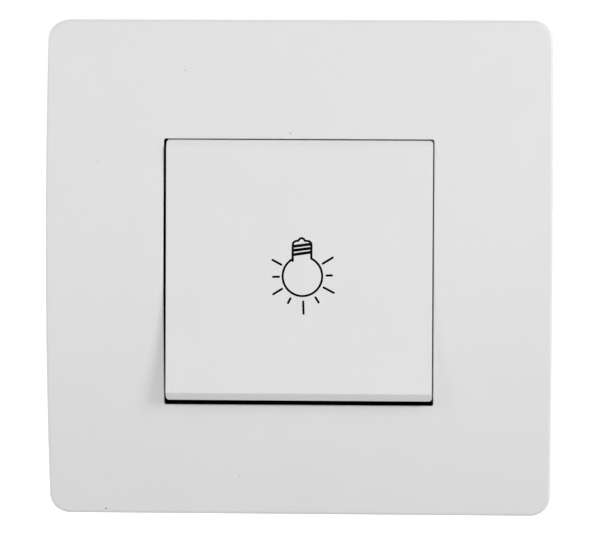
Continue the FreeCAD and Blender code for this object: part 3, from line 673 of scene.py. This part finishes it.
class Paintshop:
    """Builds each finish once and puts it on pieces and nodes."""

    def __init__(self) -> None:
        """Builds the shared groups and every material."""
        grain, lines, specks = mould_grain_group(), metal_lines_group(), dust_group()
        self.materials = {
            s: s.value.material(grain, specks) if isinstance(s.value, Moulding)
            else s.value.material(lines) for s in Surface}

    def coat(self, thing: bpy.types.Object, surface: Surface) -> None:
        """Gives an object one finish.

        Args:
            thing: The object.
            surface: Its finish.
        """
        thing.data.materials.clear()
        thing.data.materials.append(self.materials[surface])

    def deliver(self, piece: bpy.types.Object, surface: Surface, body: Body,
                *nodes: str) -> bpy.types.Object:
        """Finishes a new piece and ties it to the frame.

        Args:
            piece: The piece.
            surface: Its finish.
            body: The body that it rides on.
            *nodes: The nodes that it stands for.

        Returns:
            The piece.
        """
        self.coat(piece, surface)
        if nodes:
            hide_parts(*nodes)
        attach(piece, body.value)
        log.info("%s: %d faces", piece.name, len(piece.data.polygons))
        return piece


# Pieces


@dataclass
class CoverPlate:
    """The bowed cover plate with its collar, ribs and snap hooks."""

    width: float = 84.0
    height: float = 82.8
    sag: float = 0.1
    depth: float = 11.5
    bow: float = 6.3
    corner: float = 3.4
    edge_round: float = 0.6
    wall: float = 1.8
    opening_width: float = 44.7
    opening_height: float = 44.3
    opening_corner: float = 0.4
    drop: float = 0.25
    mouth_round: float = 0.2
    collar_wall: float = 1.6
    collar_back: float = -1.2
    lip: float = 0.5
    rebate: float = 0.75
    rib_wall: float = 1.2
    rib_back: float = -3.7
    rib_spread: float = 0.92
    rib_bend: float = 0.5
    hook_x: float = 13.5
    hook_z: float = 26.2
    hook_size: tuple[float, float] = (5.0, 1.5)
    hook_back: float = 1.9
    hook_barb: float = 1.6
    hook_grip: float = 0.7
    corner_steps: int = 10
    round_steps: int = 5
    level: float = 1.4

    def bow_at(self, z: float) -> float:
        """How far the front lies behind the crown at a height."""
        radius = ((self.height / 2) ** 2 + self.bow ** 2) / (2 * self.bow)
        return radius - math.sqrt(radius ** 2 - z ** 2)

    def bend(self, verts: Iterable[BMVert], full: float, none: float) -> None:
        """Moves vertices back along the plate's bow.

        Args:
            verts: The vertices.
            full: The Y in front of which they follow the bow wholly.
            none: The Y behind which they stay.
        """
        for vert in verts:
            share = min(max((none - vert.co.y) / (none - full), 0.0), 1.0)
            vert.co.y += share * self.bow_at(vert.co.z)

    def profile(self) -> list[tuple[float, float, float, float, float]]:
        """Lists the shell's loops, once round its section.

        Returns:
            Each loop's width, height, corner radius, Y and Z.
        """
        loops = [(self.width, self.height, self.corner, 0.0, -self.sag)]
        for step in range(self.round_steps + 1):
            a = math.radians(90 * step / self.round_steps)
            inset = self.edge_round * (1 - math.cos(a))
            loops.append((self.width - 2 * inset, self.height - 2 * inset, self.corner - inset,
                          -self.depth + self.edge_round * (1 - math.sin(a)), -self.sag))
        for step in range(self.round_steps + 1):
            a = math.radians(90 * step / self.round_steps)
            out = self.mouth_round * (1 - math.sin(a))
            loops.append((self.opening_width + 2 * out, self.opening_height + 2 * out,
                          self.opening_corner + out,
                          -self.depth + self.mouth_round * (1 - math.cos(a)), -self.drop))
        outer_w = self.opening_width + 2 * self.collar_wall
        outer_h = self.opening_height + 2 * self.collar_wall
        outer_corner = self.opening_corner + self.collar_wall
        inner_w, inner_h = self.width - 2 * self.wall, self.height - 2 * self.wall
        inner_corner = self.corner - self.wall / 2
        inner_front = self.wall - self.depth
        seat_w, seat_h = (v + 2 * self.rebate for v in (self.opening_width, self.opening_height))
        seat_corner = self.opening_corner + self.rebate
        seat_front = self.lip - self.depth
        loops += [(self.opening_width, self.opening_height, self.opening_corner, seat_front,
                   -self.drop),
                  (seat_w, seat_h, seat_corner, seat_front, 0.0),
                  (seat_w, seat_h, seat_corner, self.collar_back, 0.0),
                  (outer_w, outer_h, outer_corner, self.collar_back, 0.0),
                  (outer_w, outer_h, outer_corner, inner_front, 0.0),
                  (inner_w, inner_h, inner_corner, inner_front, -self.sag),
                  (inner_w, inner_h, inner_corner, 0.0, -self.sag)]
        return loops

    def shell(self, bm: BMesh) -> None:
        """Adds the shell and its collar.

        Args:
            bm: The mesh that gets them.
        """
        rings = [add_loop(bm, *size, self.corner_steps) for size in self.profile()]
        for first, second in zip(rings, rings[1:] + rings[:1]):
            bridge(bm, first, second)
        half = self.height / 2
        slice_levels(bm, -half + self.level / 2, half - self.level / 2, self.level)
        self.bend(bm.verts, self.wall - self.depth, self.collar_back)

    def ribs(self, bm: BMesh) -> None:
        """Adds the ribs between the collar and the rim.

        Args:
            bm: The mesh that gets them.
        """
        front = self.wall / 2 - self.depth
        collar_x = self.opening_width / 2 + self.collar_wall
        collar_z = self.opening_height / 2 + self.collar_wall
        reach_x, reach_z = self.width / 2 - self.wall / 2, self.height / 2 - self.wall / 2
        half = self.rib_wall / 2
        for side in (-1, 1):
            for part in (-1, 0, 1):
                at = part * collar_z * self.rib_spread
                near, far = sorted((side * (collar_x - half), side * reach_x))
                rib = bmesh.new()
                add_block(rib, (near, front, at - half), (far, self.rib_back, at + half))
                self.blend_in(bm, rib)
                at = part * collar_x * self.rib_spread
                near, far = sorted((side * (collar_z - half), side * reach_z))
                rib = bmesh.new()
                add_block(rib, (at - half, front, near), (at + half, self.rib_back, far))
                slice_levels(rib, near + self.level, far - self.level, self.level)
                self.blend_in(bm, rib)

    def blend_in(self, bm: BMesh, rib: BMesh) -> None:
        """Bends a rib's front to the shell and adds it to the mesh.

        Args:
            bm: The mesh that gets the rib.
            rib: The rib, which is used up.
        """
        front = self.wall / 2 - self.depth
        self.bend(rib.verts, front, front + self.rib_bend)
        mesh = bpy.data.meshes.new("rib")
        rib.to_mesh(mesh)
        rib.free()
        bm.from_mesh(mesh)
        bpy.data.meshes.remove(mesh)

    def hooks(self, bm: BMesh) -> None:
        """Adds the four snap hooks.

        Args:
            bm: The mesh that gets them.
        """
        front = self.bow_at(self.hook_z) - self.depth + self.wall / 2
        for x in (-self.hook_x, self.hook_x):
            for z in (-self.hook_z, self.hook_z):
                add_snap_leg(bm, x, z, self.hook_size, front, self.hook_back, self.hook_barb,
                             self.hook_grip)

    def build(self, shop: Paintshop) -> None:
        """Builds the plate and dresses it.

        Args:
            shop: The finishes.
        """
        bm = bmesh.new()
        self.shell(bm)
        self.ribs(bm)
        self.hooks(bm)
        plate = finish_mesh(bm, "bowed_cover_plate")
        even_shading(plate)
        shop.deliver(plate, Surface.PLATE, Body.BASE, "cover_frame")


@dataclass
class ButtonCap:
    """The flat cap with its bevels, skirt and clip legs, drawn about the button's axis."""

    width: float = 44.05
    height: float = 43.18
    wall: float = 1.6
    face: float = -5.5
    rim: float = 0.2
    corner: float = 0.5
    top_bevel: float = 1.2
    bottom_bevel: float = 1.26
    top_depth: float = 1.3
    bottom_depth: float = 1.7
    edge_round: float = 0.13
    play_x: float = 0.11
    play_z: float = -0.06
    play_turn: float = 0.03
    tilt: float = 3.0
    axis_y: float = -6.35
    clip_x: float = 9.5
    clip_z: float = 9.0
    clip_size: tuple[float, float] = (3.6, 1.2)
    clip_back: float = -0.8
    clip_barb: float = 1.3
    clip_grip: float = 0.5
    corner_steps: int = 6
    edge_steps: int = 4
    edge_from: float = 20.0
    cut_merge: float = 1e-4

    @property
    def place(self) -> Matrix:
        """Where the cap's drawing goes at rest.

        Returns:
            Its place in millimetres.
        """
        turn = Matrix.Rotation(math.radians(-self.tilt), 4, "X")
        play = Matrix.Rotation(math.radians(self.play_turn), 4, "Y")
        return Matrix.Translation((self.play_x, self.axis_y, self.play_z)) @ turn @ play

    def block(self) -> BMesh:
        """Makes the cap's outside.

        Returns:
            The closed mesh.
        """
        bm = bmesh.new()
        half_w, half_h = self.width / 2, self.height / 2
        verts = add_block(bm, (-half_w, self.face, -half_h), (half_w, self.rim, half_h))
        soften(bm, edges_between(verts, along(1)), self.corner, self.corner_steps)
        for side, width, depth in ((1, self.top_bevel, self.top_depth),
                                   (-1, self.bottom_bevel, self.bottom_depth)):
            normal = Vector((0, -width, side * depth)).normalized()
            cut = bmesh.ops.bisect_plane(
                bm, geom=bm.verts[:] + bm.edges[:] + bm.faces[:], dist=MERGE_WITHIN,
                clear_outer=True, plane_no=normal,
                plane_co=(0, self.face, side * (half_h - width)))
            edges = [g for g in cut["geom_cut"] if isinstance(g, BMEdge)]
            bmesh.ops.holes_fill(bm, edges=edges, sides=0)
        bmesh.ops.remove_doubles(bm, verts=bm.verts, dist=self.cut_merge)
        bmesh.ops.recalc_face_normals(bm, faces=bm.faces)
        soft = [e for e in bm.edges
                if e.is_manifold and e.calc_face_angle(0.0) > math.radians(self.edge_from)
                and max(v.co.y for v in e.verts) < self.rim - self.edge_round / 2]
        soften(bm, soft, self.edge_round, self.edge_steps)
        return bm

    def build(self, shop: Paintshop) -> None:
        """Builds the cap and dresses it.

        Args:
            shop: The finishes.
        """
        hollow = bmesh.new()
        half_w, half_h = self.width / 2 - self.wall, self.height / 2 - self.wall
        add_block(hollow, (-half_w, self.face + self.wall, -half_h), (half_w, self.rim + 1, half_h))
        bm = carve(self.block(), hollow)
        for x in (-self.clip_x, self.clip_x):
            for z in (-self.clip_z, self.clip_z):
                add_snap_leg(bm, x, z, self.clip_size, self.face + self.wall / 2,
                             self.clip_back, self.clip_barb, self.clip_grip)
        cap = finish_mesh(bm, "bevelled_button_cap", self.place)
        even_shading(cap)
        shop.deliver(cap, Surface.BUTTON, Body.BUTTON, "button_cap")


@dataclass
class LampSign:
    """The lamp sign printed on the cap, drawn on its face as strokes of ink."""

    cap: ButtonCap
    centre: tuple[float, float] = (0.59, -0.875)
    bulb: float = 3.27
    stroke: float = 0.38
    thread_stroke: float = 0.50
    ink: float = 0.03
    neck_left: float = -1.62
    neck_right: float = 1.46
    neck_tops: tuple[float, float] = (5.15, 5.25)
    neck_overlap: float = 0.3
    crown: tuple[tuple[float, float], ...] = (
        (-1.52, 5.55), (-1.17, 5.80), (-0.75, 5.86), (-0.45, 6.2), (-0.15, 6.31), (0.15, 6.2),
        (0.42, 5.86), (1.06, 5.80), (1.38, 5.55))
    thread_inset: float = 0.1
    glass_steps: int = 60
    threads: tuple[tuple[float, float], ...] = ((3.55, 3.98), (4.27, 4.63), (4.93, 5.31))
    rays: tuple[tuple[float, float, float], ...] = (
        (151.6, 4.00, 5.62), (181.5, 3.88, 4.84), (-148.0, 3.98, 5.66), (-118.0, 4.16, 5.02),
        (-88.0, 4.18, 6.15), (-58.0, 4.10, 5.09), (-27.5, 3.98, 5.83), (2.0, 4.00, 4.88),
        (32.0, 3.96, 5.87))

    def strokes(self) -> list[tuple[float, list[tuple[float, float]]]]:
        """Lists the sign's lines from the bulb's middle.

        Returns:
            Each line's width and its points on the face, in millimetres.
        """
        left, right = self.neck_left, self.neck_right
        start = math.degrees(math.atan2(math.sqrt(self.bulb ** 2 - left ** 2), left))
        end = math.degrees(math.atan2(math.sqrt(self.bulb ** 2 - right ** 2), right))
        sweep = end - start + 360
        turns = [math.radians(start + sweep * k / self.glass_steps)
                 for k in range(self.glass_steps + 1)]
        glass = [(self.bulb * math.cos(a), self.bulb * math.sin(a)) for a in turns]
        top_left, top_right = self.neck_tops
        neck = [(left, glass[0][1] - self.neck_overlap), (left, top_left), *self.crown,
                (right, top_right)]
        lines = [(self.stroke, neck), (self.stroke, glass),
                 (self.stroke, [(right, glass[-1][1]), (right, top_right)])]
        for low, high in self.threads:
            lines.append((self.thread_stroke, [(left + self.thread_inset, low),
                                               (right - self.thread_inset, high)]))
        for angle, first, last in self.rays:
            a = math.radians(angle)
            lines.append((self.stroke, [(r * math.cos(a), r * math.sin(a)) for r in (first, last)]))
        return lines

    def build(self, shop: Paintshop) -> None:
        """Draws the sign as ink on the cap's face.

        Args:
            shop: The finishes.
        """
        drawing = bpy.data.curves.new("sign_lines", "CURVE")
        drawing.dimensions = "3D"
        drawing.bevel_depth, drawing.bevel_resolution = self.stroke / 2, 3
        drawing.use_fill_caps = True
        ends = bmesh.new()
        for width, line in self.strokes():
            spline = drawing.splines.new("POLY")
            spline.points.add(len(line) - 1)
            for point, (x, z) in zip(spline.points, line):
                point.co = (x, 0.0, z, 1.0)
                point.radius = width / self.stroke
            for x, z in (line[0], line[-1]):
                bmesh.ops.create_uvsphere(ends, u_segments=12, v_segments=6, radius=width / 2,
                                          matrix=Matrix.Translation((x, 0.0, z)))
        pen = bpy.data.objects.new("sign_lines", drawing)
        mesh = bpy.data.meshes.new_from_object(pen)
        ends.from_mesh(mesh)
        bpy.data.objects.remove(pen)
        bpy.data.curves.remove(drawing)
        bpy.data.meshes.remove(mesh)
        flat = Matrix.Diagonal((1.0, 2 * self.ink / self.stroke, 1.0, 1.0))
        spot = Matrix.Translation((self.centre[0], self.cap.face, self.centre[1]))
        sign = finish_mesh(ends, "printed_lamp_sign", self.cap.place @ spot @ flat)
        shop.deliver(sign, Surface.INK, Body.BUTTON)


@dataclass
class CoilSpring:
    """A round-wire compression spring with closed ends, drawn along Z from its fixed end."""

    name: str
    node: str
    body: Body
    joint: str
    place: Matrix
    radius: float
    wire: float
    length: float
    turns: int
    keep: float
    end_gap: float = 0.05
    end_pitch: float = 1.06
    steps: int = 30
    sides: int = 12

    def build(self, shop: Paintshop) -> None:
        """Winds the spring and dresses it.

        Args:
            shop: The finishes.
        """
        bm = bmesh.new()
        pose = (Matrix.Translation((self.radius, 0, self.wire + self.end_gap))
                @ Matrix.Rotation(math.radians(90), 4, "X"))
        verts = bmesh.ops.create_circle(bm, segments=self.sides, radius=self.wire,
                                        matrix=pose)["verts"]
        wound = list({e for v in verts for e in v.link_edges})
        closed = 2 * self.wire * self.end_pitch
        rise = self.length - 2 * (self.wire + self.end_gap) - 2 * closed
        for turns, lift in ((1, closed), (self.turns, rise), (1, closed)):
            count = turns * self.steps
            grown = bmesh.ops.spin(bm, geom=wound, cent=(0, 0, 0), axis=(0, 0, 1),
                                   dvec=(0, 0, lift / count), angle=math.tau * turns,
                                   steps=count, use_duplicate=False)
            wound = [g for g in grown["geom_last"] if isinstance(g, BMEdge)]
        bmesh.ops.holes_fill(bm, edges=[e for e in bm.edges if e.is_boundary], sides=0)
        spring = finish_mesh(bm, self.name, self.place)
        shop.deliver(spring, Surface.SPRING, self.body, self.node)
        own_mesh(spring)


@dataclass
class SlottedScrew:
    """A threaded screw with a slotted head, drawn along Z from under its head."""

    name: str
    node: str
    body: Body
    seat: tuple[float, float, float]
    way: tuple[float, float, float]
    radius: float
    length: float
    head_radius: float
    head_height: float
    neck: float = 1.0
    pitch: float = 0.5
    slot_width: float = 0.9
    slot_depth: float = 1.0
    thread_depth: float = 0.3
    neck_inset: float = 0.12
    crest: float = 0.08
    foot: float = 0.48
    sunk: float = 0.1
    rim_round: float = 0.22
    rim_steps: int = 3
    head_steps: int = 40
    steps: int = 24

    @property
    def place(self) -> Matrix:
        """Where the drawing goes.

        Returns:
            Its place in millimetres.
        """
        along_x, tip = Vector((1, 0, 0)), Vector(self.way)
        axes = Matrix((along_x, tip.cross(along_x), tip)).transposed().to_4x4()
        return Matrix.Translation(self.seat) @ axes

    def head(self) -> BMesh:
        """Makes the slotted head.

        Returns:
            The head's mesh.
        """
        bm = bmesh.new()
        middle = Matrix.Translation((0, 0, -self.head_height / 2))
        bmesh.ops.create_cone(bm, cap_ends=True, segments=self.head_steps,
                              radius1=self.head_radius, radius2=self.head_radius,
                              depth=self.head_height, matrix=middle)
        rims = [e for e in bm.edges if abs(e.verts[0].co.z - e.verts[1].co.z) < MERGE_WITHIN]
        soften(bm, rims, self.rim_round, self.rim_steps)
        slot = bmesh.new()
        reach = self.head_radius + 1
        add_block(slot, (-reach, -self.slot_width / 2, -self.head_height - 1),
                  (reach, self.slot_width / 2, self.slot_depth - self.head_height))
        return carve(bm, slot)

    def thread(self, bm: BMesh) -> None:
        """Adds the shank with its right-hand thread.

        Args:
            bm: The mesh that gets it.
        """
        root = self.radius - self.thread_depth
        for radius, low, high in ((self.radius - self.neck_inset, -self.sunk, self.neck),
                                  (root, self.neck - self.sunk, self.length)):
            bmesh.ops.create_cone(bm, cap_ends=True, segments=self.steps, radius1=radius,
                                  radius2=radius, depth=high - low,
                                  matrix=Matrix.Translation((0, 0, (low + high) / 2)))
        start = self.neck + self.pitch / 2
        inner, foot, crest = root - self.sunk, self.foot / 2, self.crest / 2
        verts = [bm.verts.new((r, 0, start + z)) for r, z in
                 ((inner, -foot), (self.radius, -crest), (self.radius, crest), (inner, foot))]
        ridge = [bm.edges.new(pair) for pair in zip(verts, verts[1:] + verts[:1])]
        turns = math.floor((self.length - start - self.pitch / 2) / self.pitch)
        bmesh.ops.spin(bm, geom=ridge, cent=(0, 0, 0), axis=(0, 0, 1), angle=math.tau * turns,
                       dvec=(0, 0, self.pitch / self.steps), steps=turns * self.steps,
                       use_duplicate=False)
        bmesh.ops.holes_fill(bm, edges=[e for e in bm.edges if e.is_boundary], sides=0)

    def build(self, shop: Paintshop) -> None:
        """Cuts the screw and dresses it.

        Args:
            shop: The finishes.
        """
        bm = self.head()
        self.thread(bm)
        screw = finish_mesh(bm, self.name, self.place)
        shop.deliver(screw, Surface.SCREW, self.body, self.node)


@dataclass
class Works:
    """The springs and screws of the works behind the button."""

    axis_y: float = -6.35
    tilt: float = 3.0
    cover_front: float = -2.6
    return_seat: tuple[float, float] = (-2.7465, -10.371)
    return_slack: float = 0.15
    plunger_seat: float = -1.0
    terminal: tuple[float, float, float] = (11.0, 14.3, 18.1)
    claw: tuple[float, float, float] = (27.2, -1.0, -10.0)

    def build(self, shop: Paintshop) -> None:
        """Builds the springs and the screws.

        Args:
            shop: The finishes.
        """
        forward = Matrix.Rotation(math.radians(90), 4, "X")
        seat_y, seat_z = self.return_seat
        CoilSpring("return_coil_spring", "return_spring", Body.BASE, "button_tilt",
                   Matrix.Translation((0, self.cover_front, seat_z)) @ forward,
                   radius=2.3, wire=0.28, turns=4, keep=0.83,
                   length=self.cover_front - self.axis_y - seat_y - self.return_slack).build(shop)
        turn = Matrix.Rotation(math.radians(-self.tilt), 4, "X")
        axis = Matrix.Translation((0, self.axis_y, 0)) @ turn
        back = Matrix.Rotation(math.radians(-90), 4, "X")
        CoilSpring("plunger_coil_spring", "plunger_spring", Body.BUTTON, "plunger_slide",
                   axis @ Matrix.Translation((0, self.plunger_seat, 0)) @ back,
                   radius=1.15, wire=0.17, turns=4, keep=0.84, length=5.0).build(shop)
        x, y, z = self.terminal
        for name, side in (("common", -1), ("switched", 1)):
            SlottedScrew(f"{name}_threaded_screw", f"{name}_screw", Body.BASE,
                         (side * x, y, side * z), (0, 0, -side), radius=1.6, length=2.8,
                         head_radius=2.5, head_height=1.7, neck=0.3).build(shop)
        x, y, z = self.claw
        for name, side, body in (("left", -1, Body.SCREW_LEFT), ("right", 1, Body.SCREW_RIGHT)):
            SlottedScrew(f"claw_threaded_screw_{name}", f"claw_screw_{name}", body,
                         (side * x, y, z), (0, 1, 0), radius=1.5, length=15.2,
                         head_radius=2.7, head_height=2.0, neck=1.6).build(shop)


class CarriedNodes:
    """The CAD nodes, each with its finish; those that new pieces stand for are hidden later."""

    finishes: dict[Surface, tuple[str, ...]] = {
        Surface.YOKE: ("button_yoke", "contact_plunger"),
        Surface.WORKS: ("mechanism_cover", "mechanism_base"),
        Surface.ZINC: ("support_bridge", "claw_left", "claw_right"),
        Surface.SCREW: ("claw_pins", "claw_nut_left", "claw_nut_right", "common_screw",
                        "switched_screw", "claw_screw_left", "claw_screw_right"),
        Surface.SPRING: ("return_spring", "plunger_spring"),
        Surface.BRASS: ("common_strip", "switched_strip", "common_clamp", "switched_clamp"),
        Surface.COPPER: ("moving_contact",),
        Surface.SILVER: ("moving_contact_tip", "fixed_contact_tip"),
        # The surround gets the near-black painted shade that darkens the gap round the button
        Surface.SURROUND_PAINTED_SHADE: ("button_surround",),
        Surface.PLATE: ("cover_frame",),
        Surface.BUTTON: ("button_cap",),
    }

    def dress(self, shop: Paintshop) -> None:
        """Coats every node.

        Args:
            shop: The finishes.
        """
        for surface, names in self.finishes.items():
            for name in names:
                shop.coat(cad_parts[name], surface)
        log.info("carried nodes: %d", sum(len(n) for n in self.finishes.values()))


# The studio


@dataclass
class Lamp:
    """A square soft light that looks at the switch."""

    name: str
    azimuth: float
    elevation: float
    distance: float
    size: float
    watts: float
    colour: Colour = (1.0, 1.0, 1.0)

    def build(self) -> None:
        """Hangs the lamp."""
        way = direction(self.azimuth, self.elevation)
        light = bpy.data.lights.new(self.name, "AREA")
        light.size, light.energy, light.color = self.size, self.watts, self.colour
        lamp = bpy.data.objects.new(self.name, light)
        lamp.location = way * self.distance
        lamp.rotation_mode = "QUATERNION"
        lamp.rotation_quaternion = way.to_track_quat("Z", "Y")
        bpy.context.scene.collection.objects.link(lamp)


@dataclass
class Studio:
    """The floor, the lights and the camera."""

    floor_z: float = -0.075
    floor_size: float = 6.0
    floor_colours: tuple[Colour, Colour] = ((0.70, 0.69, 0.675), (0.74, 0.73, 0.715))
    floor_lift: float = 0.78
    sky: float = 0.432
    azimuth: float = 2.305
    elevation: float = 5.227
    roll: float = 0.109
    camera_mm: tuple[float, float, float] = (24.872, -622.363, 56.781)
    focal_pixels: float = 3717.0
    sensor: float = 36.0

    def seen(self, wires: Wiring) -> bpy.types.NodeSocket:
        """Finds the rays that show the background.

        Args:
            wires: The tree's wiring.

        Returns:
            A socket that is 1 for the camera's rays and for those in metal and glass.
        """
        path = wires.node("LightPath")
        seen = wires.math("MAXIMUM", path.outputs["Is Camera Ray"], path.outputs["Is Glossy Ray"])
        return wires.math("MAXIMUM", seen, path.outputs["Is Transmission Ray"])

    def world(self) -> None:
        """Sets the sky's light, with white where it is seen."""
        world = bpy.data.worlds.new("studio_sky")
        bpy.context.scene.world = world
        world.use_nodes = True
        wires = Wiring(world.node_tree)
        sky = world.node_tree.nodes["Background"]
        sky.inputs["Color"].default_value = (1.0, 1.0, 1.0, 1.0)
        sky.inputs["Strength"].default_value = self.sky
        white = wires.node("Background", inputs={"Color": (1.0, 1.0, 1.0, 1.0), "Strength": 1.0})
        mix = wires.node("MixShader")
        wires.join(self.seen(wires), mix.inputs[0])
        wires.join(sky.outputs[0], mix.inputs[1])
        wires.join(white.outputs[0], mix.inputs[2])
        wires.join(mix.outputs[0], world.node_tree.nodes["World Output"].inputs["Surface"])

    def floor(self) -> None:
        """Lays the pale floor."""
        bm = bmesh.new()
        bmesh.ops.create_grid(bm, x_segments=1, y_segments=1, size=self.floor_size / 2 / MM)
        floor = finish_mesh(bm, "pale_floor", Matrix.Translation((0, 0, self.floor_z / MM)))
        shader = Shader("pale_floor")
        speckle = shader.node("TexNoise", inputs={"Scale": 40.0, "Detail": 2.0})
        shader.join(shader.node("TexCoord").outputs["Object"], speckle.inputs["Vector"])
        shader.tinted(speckle.outputs["Fac"], *self.floor_colours)
        shader.surface.inputs["Roughness"].default_value = 0.9
        glow = shader.node("Emission", inputs={"Color": (1, 1, 1, 1)})
        lift = shader.math("MULTIPLY", self.seen(shader), self.floor_lift)
        shader.join(lift, glow.inputs["Strength"])
        both = shader.node("AddShader")
        shader.join(shader.surface.outputs[0], both.inputs[0])
        shader.join(glow.outputs[0], both.inputs[1])
        shader.join(both.outputs[0], shader.tree.nodes["Material Output"].inputs["Surface"])
        floor.data.materials.append(shader.material)

    def camera(self) -> None:
        """Places the camera at the photograph's viewing angle."""
        roll = math.radians(self.roll)
        back = direction(self.azimuth, self.elevation)
        right = Vector((0, 0, 1)).cross(back).normalized()
        up = back.cross(right)
        turned_right = right * math.cos(roll) + up * math.sin(roll)
        turned_up = up * math.cos(roll) - right * math.sin(roll)
        lens = bpy.data.cameras.new("photo_camera")
        lens.sensor_fit, lens.sensor_width = "HORIZONTAL", self.sensor
        lens.lens = self.focal_pixels / PHOTO_SIZE[0] * self.sensor
        lens.clip_start, lens.clip_end = 0.01, 20.0
        camera = bpy.data.objects.new("photo_camera", lens)
        camera.rotation_mode = "QUATERNION"
        axes = Matrix((turned_right, turned_up, back)).transposed()
        camera.rotation_quaternion = axes.to_quaternion()
        camera.location = Vector(self.camera_mm) * MM
        bpy.context.scene.collection.objects.link(camera)
        bpy.context.scene.camera = camera

    def build(self) -> None:
        """Builds the studio."""
        self.world()
        self.floor()
        self.camera()
        for lamp in (Lamp("key_upper_right", 50, 27, 0.9, 0.34, 3.45),
                     Lamp("key_upper_left", -50, 27, 0.9, 0.34, 1.25),
                     Lamp("front_soft", 0, 3, 1.3, 0.40, 0.75),
                     Lamp("rim_left", -118, 8, 1.0, 0.50, 4.5),
                     Lamp("rim_right", 118, 8, 1.0, 0.50, 3.0)):
            lamp.build()
        bpy.context.scene.view_settings.view_transform = "Standard"


def main() -> None:
    """Builds the switch's looks in order."""
    logging.basicConfig(level=logging.INFO, format="%(message)s")
    shop = Paintshop()
    CarriedNodes().dress(shop)
    CoverPlate().build(shop)
    cap = ButtonCap()
    cap.build(shop)
    LampSign(cap).build(shop)
    Works().build(shop)
    Studio().build()


if __name__ == "__main__":
    main()
